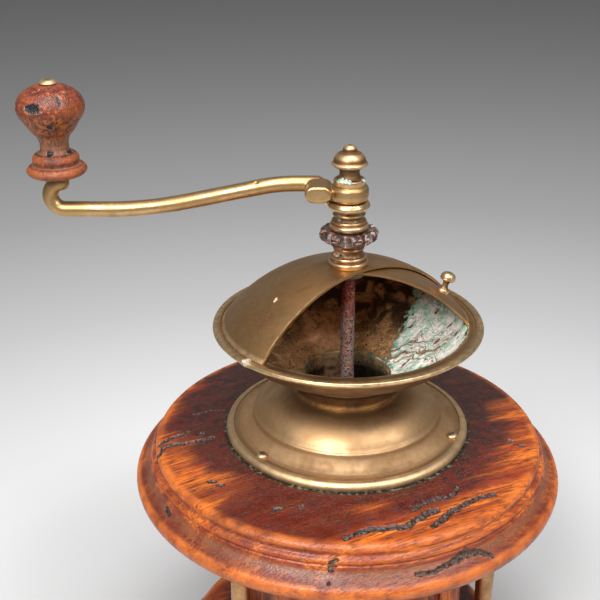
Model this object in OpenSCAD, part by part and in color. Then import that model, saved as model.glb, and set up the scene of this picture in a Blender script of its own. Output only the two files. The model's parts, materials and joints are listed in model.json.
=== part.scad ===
// Table coffee mill: a wooden case with a drawer between two turned plates, a brass hopper
// with a sliding dome door, and a conical burr mill turned by a crank.
// Origin: centre of the base's underside, on the spindle's axis. +Z up, the drawer opens to -Y.

/* [Plates] */
// Radius of the base plate at its widest line
base_r = 91; // [90:0.5:98]
// Height of the base plate's widest line above the ground
base_drop = 10; // [8:0.5:14]
// Radius of the top plate at its widest line
top_r = 99.4; // [96:0.2:106]
// Depth of the top plate below its widest line
top_drop = 6; // [5:0.5:9]
// Height of each plate's moulding above its widest line
moulding_h = 18.7; // [17:0.1:24]
// Width of the broad hollow band inside each plate's edge
band_w = 7; // [5:0.5:9]
// Radius of the bean passage through the top plate
passage_r = 22; // [19:0.5:22.5]

/* [Case] */
// Clear height between the two plates
case_h = 100.3; // [98:0.1:125]
// Width and depth of the square case over its posts
case_w = 90; // [88:0.5:96]
// Width of each square corner post
post_w = 12; // [10:0.5:14]
// Width of the chamfer on a post's outer edge
post_chamfer = 4; // [2:0.5:6]
// Length left square at each end of a post
post_stop = 9; // [6:1:16]
// Thickness of the case panels
panel_t = 7; // [5:0.5:8]
// Setback of the panels behind the faces of the posts
panel_setback = 1.5; // [0.5:0.5:2.5]
// Thickness of the board over the drawer
mill_board_t = 6; // [4:0.5:9]
// Radius of the grounds hole in that board
grounds_hole_r = 27; // [24:0.5:30]

/* [Columns] */
// Distance of the columns from the spindle's axis
column_circle_r = 70; // [68:0.5:74]
// Radius of a column's shaft at its middle
column_r = 4.4; // [3.4:0.1:5]
// Radius of the turned rings at a column's foot and cap
column_ring_r = 7; // [6:0.1:7.5]
// Radius of the pins that seat a column in the plates
column_pin_r = 2.8; // [2:0.1:3.2]
// Depth of those pins in each plate
column_pin_l = 5; // [3:0.5:5.5]

/* [Drawer] */
// Height of the drawer opening
drawer_bay_h = 42; // [34:1:46]
// Thickness of the drawer front
drawer_front_t = 9; // [7:0.5:12]
// Thickness of the drawer's sides and back
drawer_wall_t = 5; // [4:0.5:7]
// Thickness of the drawer's floor
drawer_floor_t = 4; // [3:0.5:6]
// Drop of the drawer's sides below the top of its front
drawer_side_drop = 4; // [2:0.5:8]
// Radius of the drawer knob's head
drawer_knob_r = 7.5; // [6:0.5:10]
// Projection of the drawer knob from the drawer front
drawer_knob_l = 15; // [12:0.5:20]

/* [Hopper] */
// Radius of the flange over its bead
flange_r = 56.4; // [55:0.2:60]
// Thickness of the flange's flat ring
flange_t = 3.3; // [2.4:0.1:4]
// Height of the bell from the top plate to the neck's seam
bell_h = 21.3; // [20:0.1:25]
// Outer radius of the hopper's neck
neck_r = 24.5; // [23.5:0.1:26]
// Bore radius of the hopper's throat
throat_r = 20.5; // [19:0.1:21]
// Height of the neck band between the bell and the bowl
neck_h = 6.6; // [5:0.1:9]
// Outer radius of the bowl's rim
rim_r = 60.5; // [59:0.1:63]
// Height of the bowl from the neck band to its rim
bowl_h = 26.6; // [24:0.1:32]
// Wall of the bowl
bowl_t = 1.6; // [1.2:0.1:2.2]
// Width of the bowl's flat rim ring
rim_w = 7.4; // [7:0.1:8]
// Outer radius of the dome's sphere
dome_r = 71.6; // [70:0.2:76]
// Radius of the cover's foot on the rim ring
cover_foot_r = 56.7; // [56.2:0.1:57]
// Thickness of the cover
cover_t = 1.2; // [0.9:0.1:1.4]
// Distance of the cover's straight edge from the spindle's axis
cover_edge = 9.5; // [9:0.1:12]
// Azimuth of the cover's straight edge
cover_az = 24; // [15:1:35]
// Thickness of the door
door_t = 1; // [0.8:0.1:1.4]
// Distance of the door's straight edge from the spindle's axis
door_edge = 7; // [6.4:0.1:8]
// Azimuth of the door's straight edge at rest
door_az = -14; // [-24:1:-8]
// Radius at which the door's knob stands
door_knob_circle_r = 44; // [36:0.5:47]
// Angle of the door's knob from the door's straight edge
door_knob_turn = 8.6; // [6:0.1:14]
// Radius of the door knob's head
door_knob_r = 3.4; // [2.8:0.1:4]
// Height of the door knob above the door
door_knob_h = 9.3; // [7:0.1:10]

/* [Spindle] */
// Radius of the spindle
spindle_r = 3.15; // [3:0.05:3.5]
// Width of the square tang that drives the crank
tang_w = 4.4; // [3.8:0.1:4.4]
// Radius of the stud that the finial nut screws on
stud_r = 1.9; // [1.5:0.1:2.2]
// Outer radius of the bush's stem through the dome
bush_stem_r = 5.6; // [5:0.1:6]
// Radius of the bush's foot ring on the dome
bush_foot_r = 8.6; // [8:0.1:9.2]
// Height of the bush above the dome
bush_h = 9.6; // [8.6:0.1:12]
// Radius of the adjusting wheel over its lobes
wheel_r = 12.7; // [12:0.1:14]
// Thickness of the adjusting wheel
wheel_t = 5.8; // [5:0.1:7]
// Number of lobes on the adjusting wheel
wheel_lobes = 8; // [6:1:9]
// Radius of the collar's rings
collar_r = 8.5; // [8:0.1:9.4]
// Height of the collar
collar_h = 12.6; // [11:0.1:15]

/* [Crank] */
// Azimuth of the crank at rest
crank_az = 162; // [120:1:200]
// Radius of the crank hub
hub_r = 8.35; // [7.8:0.05:9]
// Height of the crank hub
hub_h = 7.3; // [7:0.1:9]
// Distance of the knob's axis from the spindle's axis
crank_l = 127; // [115:1:150]
// Radius of the crank's rod
rod_r = 3.5; // [3:0.1:3.8]
// Sideways offset of the rod from the spindle's axis
rod_offset = 5.8; // [5:0.1:6.5]
// Width of the lug beside the hub
lug_w = 11.6; // [10:0.1:14]
// Height of the lug
lug_h = 7.3; // [6.6:0.1:7.3]
// Reach of the lug on the far side of the rod
lug_reach = 8; // [6:0.1:10]
// Slope of the rod's straight stretch, in degrees
dip_angle = 12; // [8:0.1:15]
// Radius of the rod's curl under the knob
curl_r = 6.1; // [5:0.1:7]

/* [Crank knob] */
// Radius of the knob's head
knob_r = 14.5; // [12:0.1:17]
// Radius of the knob's waist
knob_waist_r = 6.2; // [5:0.1:8]
// Radius of the knob's foot bead
knob_foot_r = 13; // [11:0.1:15]
// Height of the wooden knob
knob_h = 39.2; // [36:0.2:46]
// Radius of the pin through the knob
knob_pin_r = 2.2; // [1.8:0.1:2.8]
// Radius of the button on the pin's end
button_r = 3.8; // [3.4:0.1:5]

/* [Mill] */
// Outer radius of the outer burr's body
burr_body_r = 29; // [28:0.5:31]
// Radius of the outer burr's screw flange
burr_flange_r = 36; // [35.5:0.1:36.2]
// Height of the outer burr
burr_h = 30; // [26:1:34]
// Radius of the inner burr at its foot
inner_burr_r = 20; // [17:0.1:20.5]
// Radius of the inner burr at its top
inner_burr_top_r = 8; // [7:0.1:10]
// Number of teeth on the inner burr
inner_teeth = 12; // [8:1:14]
// Number of teeth in the outer burr
outer_teeth = 16; // [12:1:20]
// Width of the bearing bridge
bridge_w = 13; // [11:0.5:16]
// Thickness of the bearing bridge
bridge_t = 5; // [4:0.5:7]

/* [Fasteners] */
// Radius of the wood screws' shanks
screw_r = 1.4; // [1.2:0.1:1.7]
// Radius of the small screws' heads
screw_head_r = 2.6; // [2.2:0.1:3]
// Length of the screws in the wood
screw_l = 11; // [8:0.5:14]

/* [Hidden] */
$fn = 96;

// Clearances
fit = 0.05;           // radial clearance of pieces that are fixed together
running = 0.08;       // radial clearance of a shaft that turns in its hole
seat_gap = 0.25;      // axial gap between faces that turn or slide past each other
drawer_gap = 0.4;     // gap round the drawer front and beside its box
door_gap = 0.6;       // gap between the cover and the door beneath it
cut = 1;              // overshoot of a cutting solid

// Fall of each plate's field from its level middle to its moulding
base_fall = 0.8;
top_fall = 2.4;

// Levels
z_field = base_drop + moulding_h;
z_under = z_field + case_h;
z_top = z_under + top_drop + moulding_h;
z_bay = z_field + drawer_bay_h;
z_seam = z_top + bell_h;
z_bowl = z_seam + neck_h;
z_rim = z_bowl + bowl_h;
rim_t = 1.8;
rim_step = 0.7;
z_seat = z_rim - rim_step;
foot_t = 1;
z_dome = z_seat + foot_t / 2 - sqrt(pow(dome_r, 2) - pow(cover_foot_r, 2));
z_apex = z_dome + dome_r;
z_wheel = z_apex + bush_h + seat_gap;
z_collar = z_wheel + wheel_t + seat_gap;
z_hub = z_collar + collar_h;
z_finial = z_hub + hub_h;

// Case
half_w = case_w / 2;
post_in = half_w - post_w;
post_mid = half_w - post_w / 2;
base_screw_r = 2;
base_screw_head_r = 4;
column_az = -30;
panel_out = half_w - panel_setback;
panel_in = panel_out - panel_t;

// Drawer
drawer_half_w = post_in - drawer_gap;
drawer_front_h = drawer_bay_h - 2 * drawer_gap;
drawer_z = z_field + drawer_gap;
drawer_back_y = panel_in - drawer_gap;
drawer_side_h = drawer_front_h - drawer_side_drop;
guide_h = 12;
drawer_front_y = drawer_front_t - panel_out;
drawer_in = drawer_half_w - drawer_wall_t;

// Hopper
flange_screw_circle_r = flange_r - 6.1;
flange_screw_az = -35;
door_r = dome_r - cover_t - door_gap;
socket_l = 7;
spigot_l = bell_h;
bowl_bulge = 2;
door_rivet_r = 1.1;
door_knob_lean = 18;
spigot_r = (neck_r + throat_r) / 2;
nut_t = 2.4;
nut_fall = 0.4;
nut_r = bush_foot_r - 0.6;
z_nut = z_apex - cover_t - door_gap - door_t - seat_gap - nut_t;

// Crank
rod_z = z_hub + hub_h / 2 + 1.9;
z_lug = z_hub + hub_h - lug_h + 0.9;
rod_start = hub_r + 4.9;
bend_1_r = 80;
bend_2_r = 178;
bend_1_start = 22;
bend_1_l = bend_1_r * sin(dip_angle);
bend_2_l = bend_2_r * sin(dip_angle);
curl_x = crank_l - 1.9;
bend_2_end = curl_x - 17;
dip_l = bend_2_end - bend_2_l - bend_1_start - bend_1_l;
rod_low_z = rod_z - (bend_1_r + bend_2_r) * (1 - cos(dip_angle)) - dip_l * tan(dip_angle);
curl_z = rod_low_z + curl_r;
curl_end = crank_l - 5.4 + rod_r;
curl_top = curl_z + sqrt(pow(curl_r + rod_r, 2) - pow(crank_l - curl_x, 2));
knob_z = curl_top + seat_gap;
button_h = 1.9;
knob_pin_hole_l = 5;
stud_l = 6;
finial_h = 17.1;

// Mill
z_burr = z_under - burr_h;
burr_flange_t = 4;
burr_gap = 0.9;
burr_mouth_r = passage_r;
burr_screw_circle_r = (burr_body_r + burr_flange_r) / 2;
inner_burr_h = burr_h - 5;
spindle_foot = z_burr - bridge_t - 3;
burr_screw_az = 45;
burr_screw_l = 12;
bridge_screw_l = 7;
burr_pin_r = 1.5;
z_pin = z_burr + inner_burr_h - 4;
bridge_screw_r = (burr_body_r + inner_burr_r + burr_gap) / 2;

// Points on the arc from p to q whose middle stands s to the left of the straight line.
// The last point is left to the next stretch.
function arc_points(p, q, s, steps = 8) =
  s == 0 ? [p] :
  let (
    d = q - p,
    chord = norm(d),
    u = d / chord,
    left = [-u[1], u[0]],
    r = (chord * chord / 4 + s * s) / (2 * abs(s)),
    half = 2 * atan(2 * abs(s) / chord)
  )
  [for (i = [0:steps - 1])
    let (a = -half + 2 * half * i / steps)
    p + u * (chord / 2 + r * sin(a)) + left * sign(s) * (r * cos(a) - r + abs(s))];

// Outline through rows of [x, y, bulge], where the bulge shapes the stretch to the next row
function outline(rows) = [
  for (i = [0:len(rows) - 1])
    let (a = rows[i], b = rows[(i + 1) % len(rows)])
    each arc_points([a[0], a[1]], [b[0], b[1]], a[2])
];

// Solid of revolution from rows of [radius, height, bulge]
module turned(rows) {
  rotate_extrude() polygon(outline(rows));
}

// Copies of the children at even steps round the spindle's axis
module ring_of(count, radius, start = 0) {
  for (i = [0:count - 1])
    rotate(start + 360 * i / count) translate([radius, 0, 0]) children();
}

// Box between two corners
module block(low, high) {
  translate(low) cube(high - low);
}

// Everything on the side of the straight line at distance edge that holds the axis
module behind_edge(azimuth, edge) {
  size = 3 * rim_r;
  rotate(azimuth) translate([-size, -edge, z_seat - cut]) cube([2 * size, size, size]);
}

// Turned plate with a nosed edge, a hollow band, a bead and a rounded shoulder
module moulded_plate(r, drop, bore, level_r, fall) {
  nose_w = 4;
  turned([
    [bore, -drop, 0],
    [r - nose_w, -drop, -drop * 0.18],
    [r, -0.6, -0.35],
    [r - 1.4, 2.3, 0.45],
    [r - band_w, 6.9, 0],
    [r - band_w - 0.2, 8.5, 0],
    [r - band_w - 0.9, 9, -0.6],
    [r - band_w - 1.8, 11.6, 0.4],
    [r - band_w - 2.8, 13.2, -0.8],
    [r - band_w - 5, moulding_h - fall, 0],
    [level_r, moulding_h, 0],
    [bore, moulding_h, 0]
  ]);
}

// Blind hole for a column's pin, opening upwards at z = 0
module column_pin_hole() {
  translate([0, 0, -column_pin_l - seat_gap])
    cylinder(r = column_pin_r + fit, h = column_pin_l + seat_gap + cut);
}

module base_plate() {
  color("#8a3d14") difference() {
    translate([0, 0, base_drop])
      moulded_plate(base_r, base_drop, 0, column_circle_r + column_ring_r + 0.5, base_fall);
    ring_of(3, column_circle_r, column_az) translate([0, 0, z_field]) column_pin_hole();
    case_corners() base_screw(fit);
  }
}

module top_plate() {
  color("#9a4515") difference() {
    translate([0, 0, z_under + top_drop])
      moulded_plate(top_r, top_drop, passage_r, flange_r + 1.6, top_fall);
    ring_of(3, column_circle_r, column_az)
      translate([0, 0, z_under]) mirror([0, 0, 1]) column_pin_hole();
    ring_of(3, flange_screw_circle_r, flange_screw_az)
      translate([0, 0, z_top - screw_l]) cylinder(r = screw_r + fit, h = screw_l + cut);
    ring_of(4, burr_screw_circle_r, burr_screw_az)
      translate([0, 0, z_under - cut]) cylinder(r = screw_r + fit, h = burr_screw_l + cut);
  }
}

// Copies of the children at the middle of each corner post
module case_corners() {
  for (sx = [-1, 1])
    for (sy = [-1, 1])
      translate([sx * post_mid, sy * post_mid, 0]) children();
}

// Square post with a stopped chamfer on its outer edge
module corner_post() {
  chamfer_l = case_h - 2 * post_stop;
  difference() {
    block([post_in, post_in, z_field], [half_w, half_w, z_under]);
    translate([half_w, half_w, z_field + post_stop]) rotate(45)
      translate([-post_chamfer / sqrt(2), -post_w, 0]) cube([post_w, 2 * post_w, chamfer_l]);
  }
}

module corner_posts() {
  color("#8a3d14") difference() {
    union()
      for (sx = [0, 1])
        for (sy = [0, 1])
          mirror([sx, 0, 0]) mirror([0, sy, 0]) corner_post();
    case_corners() base_screw(fit);
  }
}

// Upright panel on the +Y side of the case, between two posts
module panel(low_z) {
  block([-post_in, panel_in, low_z], [post_in, panel_out, z_under]);
}

module left_panel() {
  color("#9a4515") rotate(90) panel(z_field);
}

module right_panel() {
  color("#9a4515") rotate(-90) panel(z_field);
}

module back_panel() {
  color("#9a4515") panel(z_field);
}

module front_panel() {
  color("#9a4515") rotate(180) panel(z_bay);
}

module mill_board() {
  color("#7c3a16") difference() {
    block([-panel_in, -panel_in, z_bay], [panel_in, panel_in, z_bay + mill_board_t]);
    for (sx = [0, 1])
      for (sy = [0, 1])
        mirror([sx, 0, 0]) mirror([0, sy, 0])
          block([post_in, post_in, z_bay - cut], [half_w, half_w, z_bay + mill_board_t + cut]);
    translate([0, 0, z_bay - cut]) cylinder(r = grounds_hole_r, h = mill_board_t + 2 * cut);
  }
}

module drawer_guides() {
  color("#7c3a16")
    for (sx = [0, 1])
      mirror([sx, 0, 0])
        block([post_in, -post_in, z_field], [panel_in, post_in, z_field + guide_h]);
}

// Turned column with rings at both ends, a swelling shaft and a seating pin each way
module column() {
  ring_h = 4.5;
  neck_z = 11;
  shaft_end_r = column_r - 0.8;
  mid_z = case_h / 2;
  translate([column_circle_r, 0, z_field]) turned([
    [0, -column_pin_l, 0],
    [column_pin_r, -column_pin_l, 0],
    [column_pin_r, 0, 0],
    [column_ring_r - 0.6, 0, 0],
    [column_ring_r - 0.6, 0.8, -1.5],
    [column_ring_r - 0.8, ring_h, 0],
    [shaft_end_r + 0.6, ring_h + 0.6, 0.9],
    [shaft_end_r + 0.4, neck_z - 2, 0],
    [shaft_end_r + 1.1, neck_z - 1.6, -0.6],
    [shaft_end_r + 1, neck_z, 0],
    [shaft_end_r, neck_z + 0.5, 0],
    [column_r, mid_z, 0],
    [shaft_end_r, case_h - neck_z - 0.5, 0],
    [shaft_end_r + 1, case_h - neck_z, -0.6],
    [shaft_end_r + 1.1, case_h - neck_z + 1.6, 0],
    [shaft_end_r + 0.4, case_h - neck_z + 2, 0.9],
    [shaft_end_r + 0.6, case_h - ring_h - 0.6, 0],
    [column_ring_r - 0.8, case_h - ring_h, -1.5],
    [column_ring_r - 0.6, case_h - 0.8, 0],
    [column_ring_r - 0.6, case_h, 0],
    [column_pin_r, case_h, 0],
    [column_pin_r, case_h + column_pin_l, 0],
    [0, case_h + column_pin_l, 0]
  ]);
}

module right_column() {
  color("#b08d57") rotate(column_az) column();
}

module rear_column() {
  color("#b08d57") rotate(column_az + 120) column();
}

module left_column() {
  color("#b08d57") rotate(column_az + 240) column();
}

// Countersunk screw up through the base plate into a post, its head flush with the underside
module base_screw(extra = 0) {
  head_h = 2.4;
  translate([0, 0, extra > 0 ? -cut : 0])
    cylinder(r = base_screw_head_r + extra, h = extra > 0 ? cut + fit : fit);
  cylinder(r1 = base_screw_head_r + extra, r2 = base_screw_r + extra, h = head_h);
  cylinder(r = base_screw_r + extra, h = z_field + screw_l + extra);
}

module base_screws() {
  color("#6d6a64") case_corners() base_screw();
}

module drawer_front() {
  color("#9a4515")
    block([-drawer_half_w, -panel_out, drawer_z],
          [drawer_half_w, drawer_front_y, drawer_z + drawer_front_h]);
}

module drawer_left_side() {
  color("#a9713c")
    block([-drawer_half_w, drawer_front_y, drawer_z],
          [-drawer_in, drawer_back_y, drawer_z + drawer_side_h]);
}

module drawer_right_side() {
  color("#a9713c") mirror([1, 0, 0])
    block([-drawer_half_w, drawer_front_y, drawer_z],
          [-drawer_in, drawer_back_y, drawer_z + drawer_side_h]);
}

module drawer_back() {
  color("#a9713c")
    block([-drawer_in, drawer_back_y - drawer_wall_t, drawer_z],
          [drawer_in, drawer_back_y, drawer_z + drawer_side_h]);
}

module drawer_floor() {
  color("#a9713c")
    block([-drawer_in, drawer_front_y, drawer_z],
          [drawer_in, drawer_back_y - drawer_wall_t, drawer_z + drawer_floor_t]);
}

// Turned pull with a base ring, a waist and a domed head, pointing to -Y
module drawer_knob() {
  l = drawer_knob_l;
  color("#b08d57")
    translate([0, -panel_out, drawer_z + drawer_front_h / 2]) rotate([90, 0, 0]) turned([
      [0, 0, 0],
      [drawer_knob_r - 1, 0, 0],
      [drawer_knob_r - 1, 1.2, -0.4],
      [drawer_knob_r - 2.5, 2, 0],
      [drawer_knob_r / 2, 2.6, 0.8],
      [drawer_knob_r / 2, l / 2, 0.6],
      [drawer_knob_r - 0.4, l * 0.66, -0.5],
      [drawer_knob_r - 0.2, l * 0.8, -1],
      [1.4, l, 0],
      [0, l, 0]
    ]);
}

// Flange and bell in one, spot-faced under the heads of its screws
module hopper_flange() {
  fillet_r = flange_r - 9;
  crease_r = flange_r - 13.4;
  crease_z = bell_h / 2 - 0.4;
  wall = 1.7;
  color("#a98457") difference() {
    translate([0, 0, z_top]) turned([
      [fillet_r - 1, 0, 0],
      [flange_r - 0.4, 0, 0],
      [flange_r, 1.2, -0.9],
      [flange_r - 3, flange_t + 0.5, -0.3],
      [flange_r - 3.6, flange_t, 0],
      [fillet_r + 0.8, flange_t, 0],
      [fillet_r, flange_t + 0.7, 0.7],
      [crease_r + 0.5, crease_z - 0.7, -0.2],
      [crease_r - 0.4, crease_z + 0.6, -2.9],
      [neck_r, bell_h, 0],
      [spigot_r + fit, bell_h, 0],
      [spigot_r + fit, bell_h - socket_l, 0],
      [spigot_r + 2, bell_h - socket_l, 1.4],
      [crease_r - wall - 1, crease_z - 1.4, 0],
      [crease_r - wall, 0, 0]
    ]);
    ring_of(3, flange_screw_circle_r, flange_screw_az) {
      translate([0, 0, z_top - cut]) cylinder(r = screw_r + fit, h = flange_t + 2 * cut);
      translate([0, 0, z_top + flange_t]) cylinder(r = screw_head_r + 0.15, h = 3);
    }
  }
}

// Round-headed screw with its head's seat at z = 0 and its shank downwards
module round_screw(length) {
  turned([
    [0, -length, 0],
    [screw_r * 0.4, -length, 0],
    [screw_r, 2 * screw_r - length, 0],
    [screw_r, 0, 0],
    [screw_head_r, 0, 0],
    [screw_head_r, 0.4, -0.4],
    [0.8, 1.5, 0],
    [0, 1.5, 0]
  ]);
}

module flange_screws() {
  color("#8f7a58") ring_of(3, flange_screw_circle_r, flange_screw_az)
    translate([0, 0, z_top + flange_t]) round_screw(screw_l + flange_t);
}

// Bowl with a neck tube through the bell to the plate, a neck band, a bead and a flat ring rim
module hopper_bowl() {
  bead_r = neck_r + 5.6;
  bead_z = 4.2;
  lip_r = rim_r - rim_w;
  top = bowl_h;
  color("#a98457") translate([0, 0, z_bowl]) turned([
    [throat_r, -neck_h - spigot_l, 0],
    [spigot_r, -neck_h - spigot_l, 0],
    [spigot_r, -neck_h, 0],
    [neck_r, -neck_h, 0],
    [neck_r, -0.4, 0.5],
    [neck_r + 2, 1.4, 0],
    [bead_r - 1, bead_z - 1.4, -0.5],
    [bead_r, bead_z, 0],
    [bead_r + 0.4, bead_z + 0.9, -bowl_bulge],
    [rim_r - 1.6, top - rim_t - 1.2, 0],
    [rim_r - 0.4, top - rim_t, -0.4],
    [rim_r, top - 0.6, -0.2],
    [rim_r - 0.6, top, 0],
    [cover_foot_r + 0.5, top, 0],
    [cover_foot_r + 0.3, top - rim_step, 0],
    [lip_r + 0.4, top - rim_step, 0.1],
    [lip_r, top - rim_step - 0.5, bowl_bulge],
    [bead_r, bead_z + bowl_t + 0.4, 0.6],
    [throat_r, 0, 0]
  ]);
}

// Spherical shell of the dome from its outer radius, standing on the height low_z
module dome_shell(outer_r, wall, low_z) {
  intersection() {
    translate([0, 0, z_dome]) difference() {
      sphere(r = outer_r);
      sphere(r = outer_r - wall);
    }
    translate([0, 0, low_z]) cylinder(r = outer_r + cut, h = outer_r);
  }
}

module hopper_cover() {
  color("#a98457") difference() {
    intersection() {
      union() {
        dome_shell(dome_r, cover_t, z_seat);
        translate([0, 0, z_seat]) turned([
          [cover_foot_r - cover_t, 0, 0],
          [cover_foot_r, 0, 0],
          [cover_foot_r, foot_t, 0],
          [cover_foot_r - cover_t, foot_t, 0]
        ]);
      }
      behind_edge(cover_az, cover_edge);
    }
    translate([0, 0, z_dome]) cylinder(r = bush_stem_r + fit, h = dome_r + cut);
  }
}

module hopper_door() {
  color("#a98457") difference() {
    intersection() {
      dome_shell(door_r, door_t, z_seat + seat_gap);
      behind_edge(door_az, door_edge);
    }
    translate([0, 0, z_dome]) cylinder(r = bush_stem_r + running, h = dome_r);
    place_door_knob() cylinder(r = door_rivet_r + fit, h = 6, center = true);
  }
}

// Moves the children to the foot of the door's knob, with +Z along the knob's axis
module place_door_knob() {
  foot_z = sqrt(pow(door_r, 2) - pow(door_knob_circle_r, 2));
  rotate(door_az + door_knob_turn) translate([door_knob_circle_r, 0, z_dome + foot_z])
    rotate([0, door_knob_lean, 0]) children();
}

module door_knob() {
  h = door_knob_h;
  waist_r = door_knob_r * 0.45;
  rivet_end = -door_t * 1.5;
  color("#b08d57") difference() {
    place_door_knob() turned([
      [0, rivet_end, 0],
      [door_rivet_r, rivet_end, 0],
      [door_rivet_r, -1.2, 0],
      [door_knob_r - 0.6, -1.2, 0],
      [door_knob_r - 0.6, 0.7, -0.2],
      [waist_r + 0.6, 1.6, 0.5],
      [waist_r, h * 0.5, 0.2],
      [door_knob_r - 0.5, h * 0.6, -0.3],
      [door_knob_r, h * 0.72, -0.9],
      [0.8, h, 0],
      [0, h, 0]
    ]);
    intersection() {
      translate([0, 0, z_dome]) sphere(r = door_r);
      place_door_knob() difference() {
        cylinder(r = door_knob_r, h = 4, center = true);
        cylinder(r = door_rivet_r, h = 5, center = true);
      }
    }
  }
}

// Turned bush: a foot ring on the dome, a waist, a seat and a neck for the adjusting wheel
module top_bush() {
  base_z = z_apex - 1.4;
  h = bush_h + 1.4;
  r = bush_foot_r;
  neck_top = z_collar - seat_gap;
  color("#b08d57") difference() {
    translate([0, 0, base_z]) turned([
      [spindle_r + running, z_nut - base_z, 0],
      [bush_stem_r, z_nut - base_z, 0],
      [bush_stem_r, 0, 0],
      [r - 0.3, 0, 0],
      [r, 1.4, -0.5],
      [r - 0.3, 3.2, 0],
      [r - 1.1, 3.6, -0.5],
      [r - 1.2, 5.4, 0],
      [r - 1.9, 5.8, 0.3],
      [r - 2.2, 7.8, 0],
      [r - 1.9, 8.2, -0.2],
      [r - 1.9, 9.2, 0.5],
      [r - 0.9, h, 0],
      [bush_stem_r, h, 0],
      [bush_stem_r, neck_top - base_z, 0],
      [spindle_r + running, neck_top - base_z, 0]
    ]);
    translate([0, 0, z_dome]) sphere_around_stem();
  }
}

// The cover's outer sphere with its stem hole left free
module sphere_around_stem() {
  difference() {
    sphere(r = dome_r);
    cylinder(r = bush_stem_r, h = dome_r + cut);
  }
}

module bush_nut() {
  color("#8f7a58") translate([0, 0, z_nut]) turned([
    [bush_stem_r + fit, 0, 0],
    [nut_r - 0.8, 0, 0],
    [nut_r, 0.8, 0],
    [nut_r, nut_t - nut_fall, 0],
    [bush_stem_r + fit, nut_t - nut_fall, 0]
  ]);
}

// Star wheel: a hub disc with rounded lobes, a notch in each lobe's top edge and a lower skirt
module adjusting_wheel() {
  scallop_r = wheel_r * sin(180 / wheel_lobes) * 0.62;
  skirt_h = wheel_t * 0.3;
  color("#4a3330") translate([0, 0, z_wheel]) difference() {
    turned([
      [bush_stem_r + running, 0, 0],
      [wheel_r - 3.4, 0, 0],
      [wheel_r - 2, skirt_h * 0.5, 0],
      [wheel_r - 1.2, skirt_h, 0],
      [wheel_r, skirt_h + 0.6, -0.3],
      [wheel_r, wheel_t - 1, 0],
      [wheel_r - 1, wheel_t, 0],
      [bush_stem_r + running, wheel_t, 0]
    ]);
    ring_of(wheel_lobes, wheel_r + scallop_r * 0.25, 180 / wheel_lobes)
      translate([0, 0, -cut]) cylinder(r = scallop_r, h = wheel_t + 2 * cut);
    ring_of(wheel_lobes, wheel_r, 0)
      translate([0, 0, wheel_t + 0.2]) rotate([90, 0, 90]) cylinder(r = 1.1, h = 5, center = true);
  }
}

module spindle() {
  color("#6b4638") union() {
    difference() {
      translate([0, 0, spindle_foot]) cylinder(r = spindle_r, h = z_hub - spindle_foot);
      translate([0, 0, z_pin]) rotate([0, 90, 0])
        cylinder(r = burr_pin_r + fit, h = 4 * spindle_r, center = true);
    }
    translate([-tang_w / 2, -tang_w / 2, z_hub]) cube([tang_w, tang_w, hub_h]);
    translate([0, 0, z_finial]) cylinder(r = stud_r, h = stud_l);
  }
}

// Turned collar: lower double bulge, waist, small ring and top ring, with an ear under the lug
module spindle_collar() {
  r = collar_r;
  h = collar_h;
  color("#b08d57") difference() {
    translate([0, 0, z_collar]) union() {
      turned([
        [0, 0, 0],
        [r - 0.9, 0, -0.2],
        [r, 1.1, -0.3],
        [r - 0.5, 2.6, 0],
        [r - 1.2, 2.9, 0],
        [r - 0.9, 3.4, -0.2],
        [r - 1.4, 4.4, 0.5],
        [r - 2, 6, 0],
        [r - 1.6, 6.4, -0.3],
        [r - 1.7, 7.4, 0],
        [r - 1.9, 7.6, 0.3],
        [r - 0.2, 9.2, -0.6],
        [r + 0.1, h - 0.9, -0.2],
        [r - 0.8, h, 0],
        [0, h, 0]
      ]);
      rotate(crank_az) translate([0, -1, 0]) collar_ear(h);
    }
    translate([0, 0, z_collar - cut]) cylinder(r = spindle_r + fit, h = h + 2 * cut);
  }
}

// Curved web that carries the crank's lug from the collar's waist
module collar_ear(top) {
  thickness = 5;
  reach = collar_r + 2.3;
  lug_z = z_lug - z_collar - 0.2;
  translate([0, thickness / 2, 0]) rotate([90, 0, 0])
    linear_extrude(thickness) polygon(outline([
      [spindle_r + 1, top - 6.4, 0],
      [collar_r - 2.2, top - 6.4, 0.6],
      [reach - 0.8, top - 1.8, 0],
      [reach, lug_z - 0.4, 0],
      [reach, lug_z, 0],
      [hub_r + 0.3, lug_z, 0],
      [hub_r + 0.3, top - 0.2, 0],
      [spindle_r + 1, top - 0.2, 0]
    ]));
}

// Stations [x, z, tangent x, tangent z, radius] of a bar on an arc round [cx, cz], from angle a to b
function arc_stations(cx, cz, bend, a, b, steps) = [
  for (i = [0:steps])
    let (t = a + (b - a) * i / steps, way = sign(b - a))
    [cx + bend * cos(t), cz + bend * sin(t), -way * sin(t), way * cos(t), rod_r]
];

// Stations of a bar's round end at [x, z] along +X or -X, from angle a to b off the end's plane
function cap_stations(x, z, way, a, b, steps) = [
  for (i = [0:steps])
    let (t = a + (b - a) * i / steps)
    [x + way * rod_r * sin(t), z, way, 0, rod_r * cos(t)]
];

// Round bar swept through stations in the plane of X and Z
module swept_bar(stations, sides = 20) {
  n = len(stations);
  points = [
    for (s = stations, j = [0:sides - 1])
      let (a = 360 * (j + 0.5) / sides, side = s[4] * cos(a), up = s[4] * sin(a))
      [s[0] - up * s[3], side, s[1] + up * s[2]]
  ];
  skin = [
    for (i = [0:n - 2], j = [0:sides - 1])
      let (k = (j + 1) % sides, m = i * sides)
      [m + j, m + sides + j, m + sides + k, m + k]
  ];
  start = [for (j = [0:sides - 1]) j];
  finish = [for (j = [0:sides - 1]) n * sides - 1 - j];
  polyhedron(points, concat(skin, [start, finish]));
}

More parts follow.
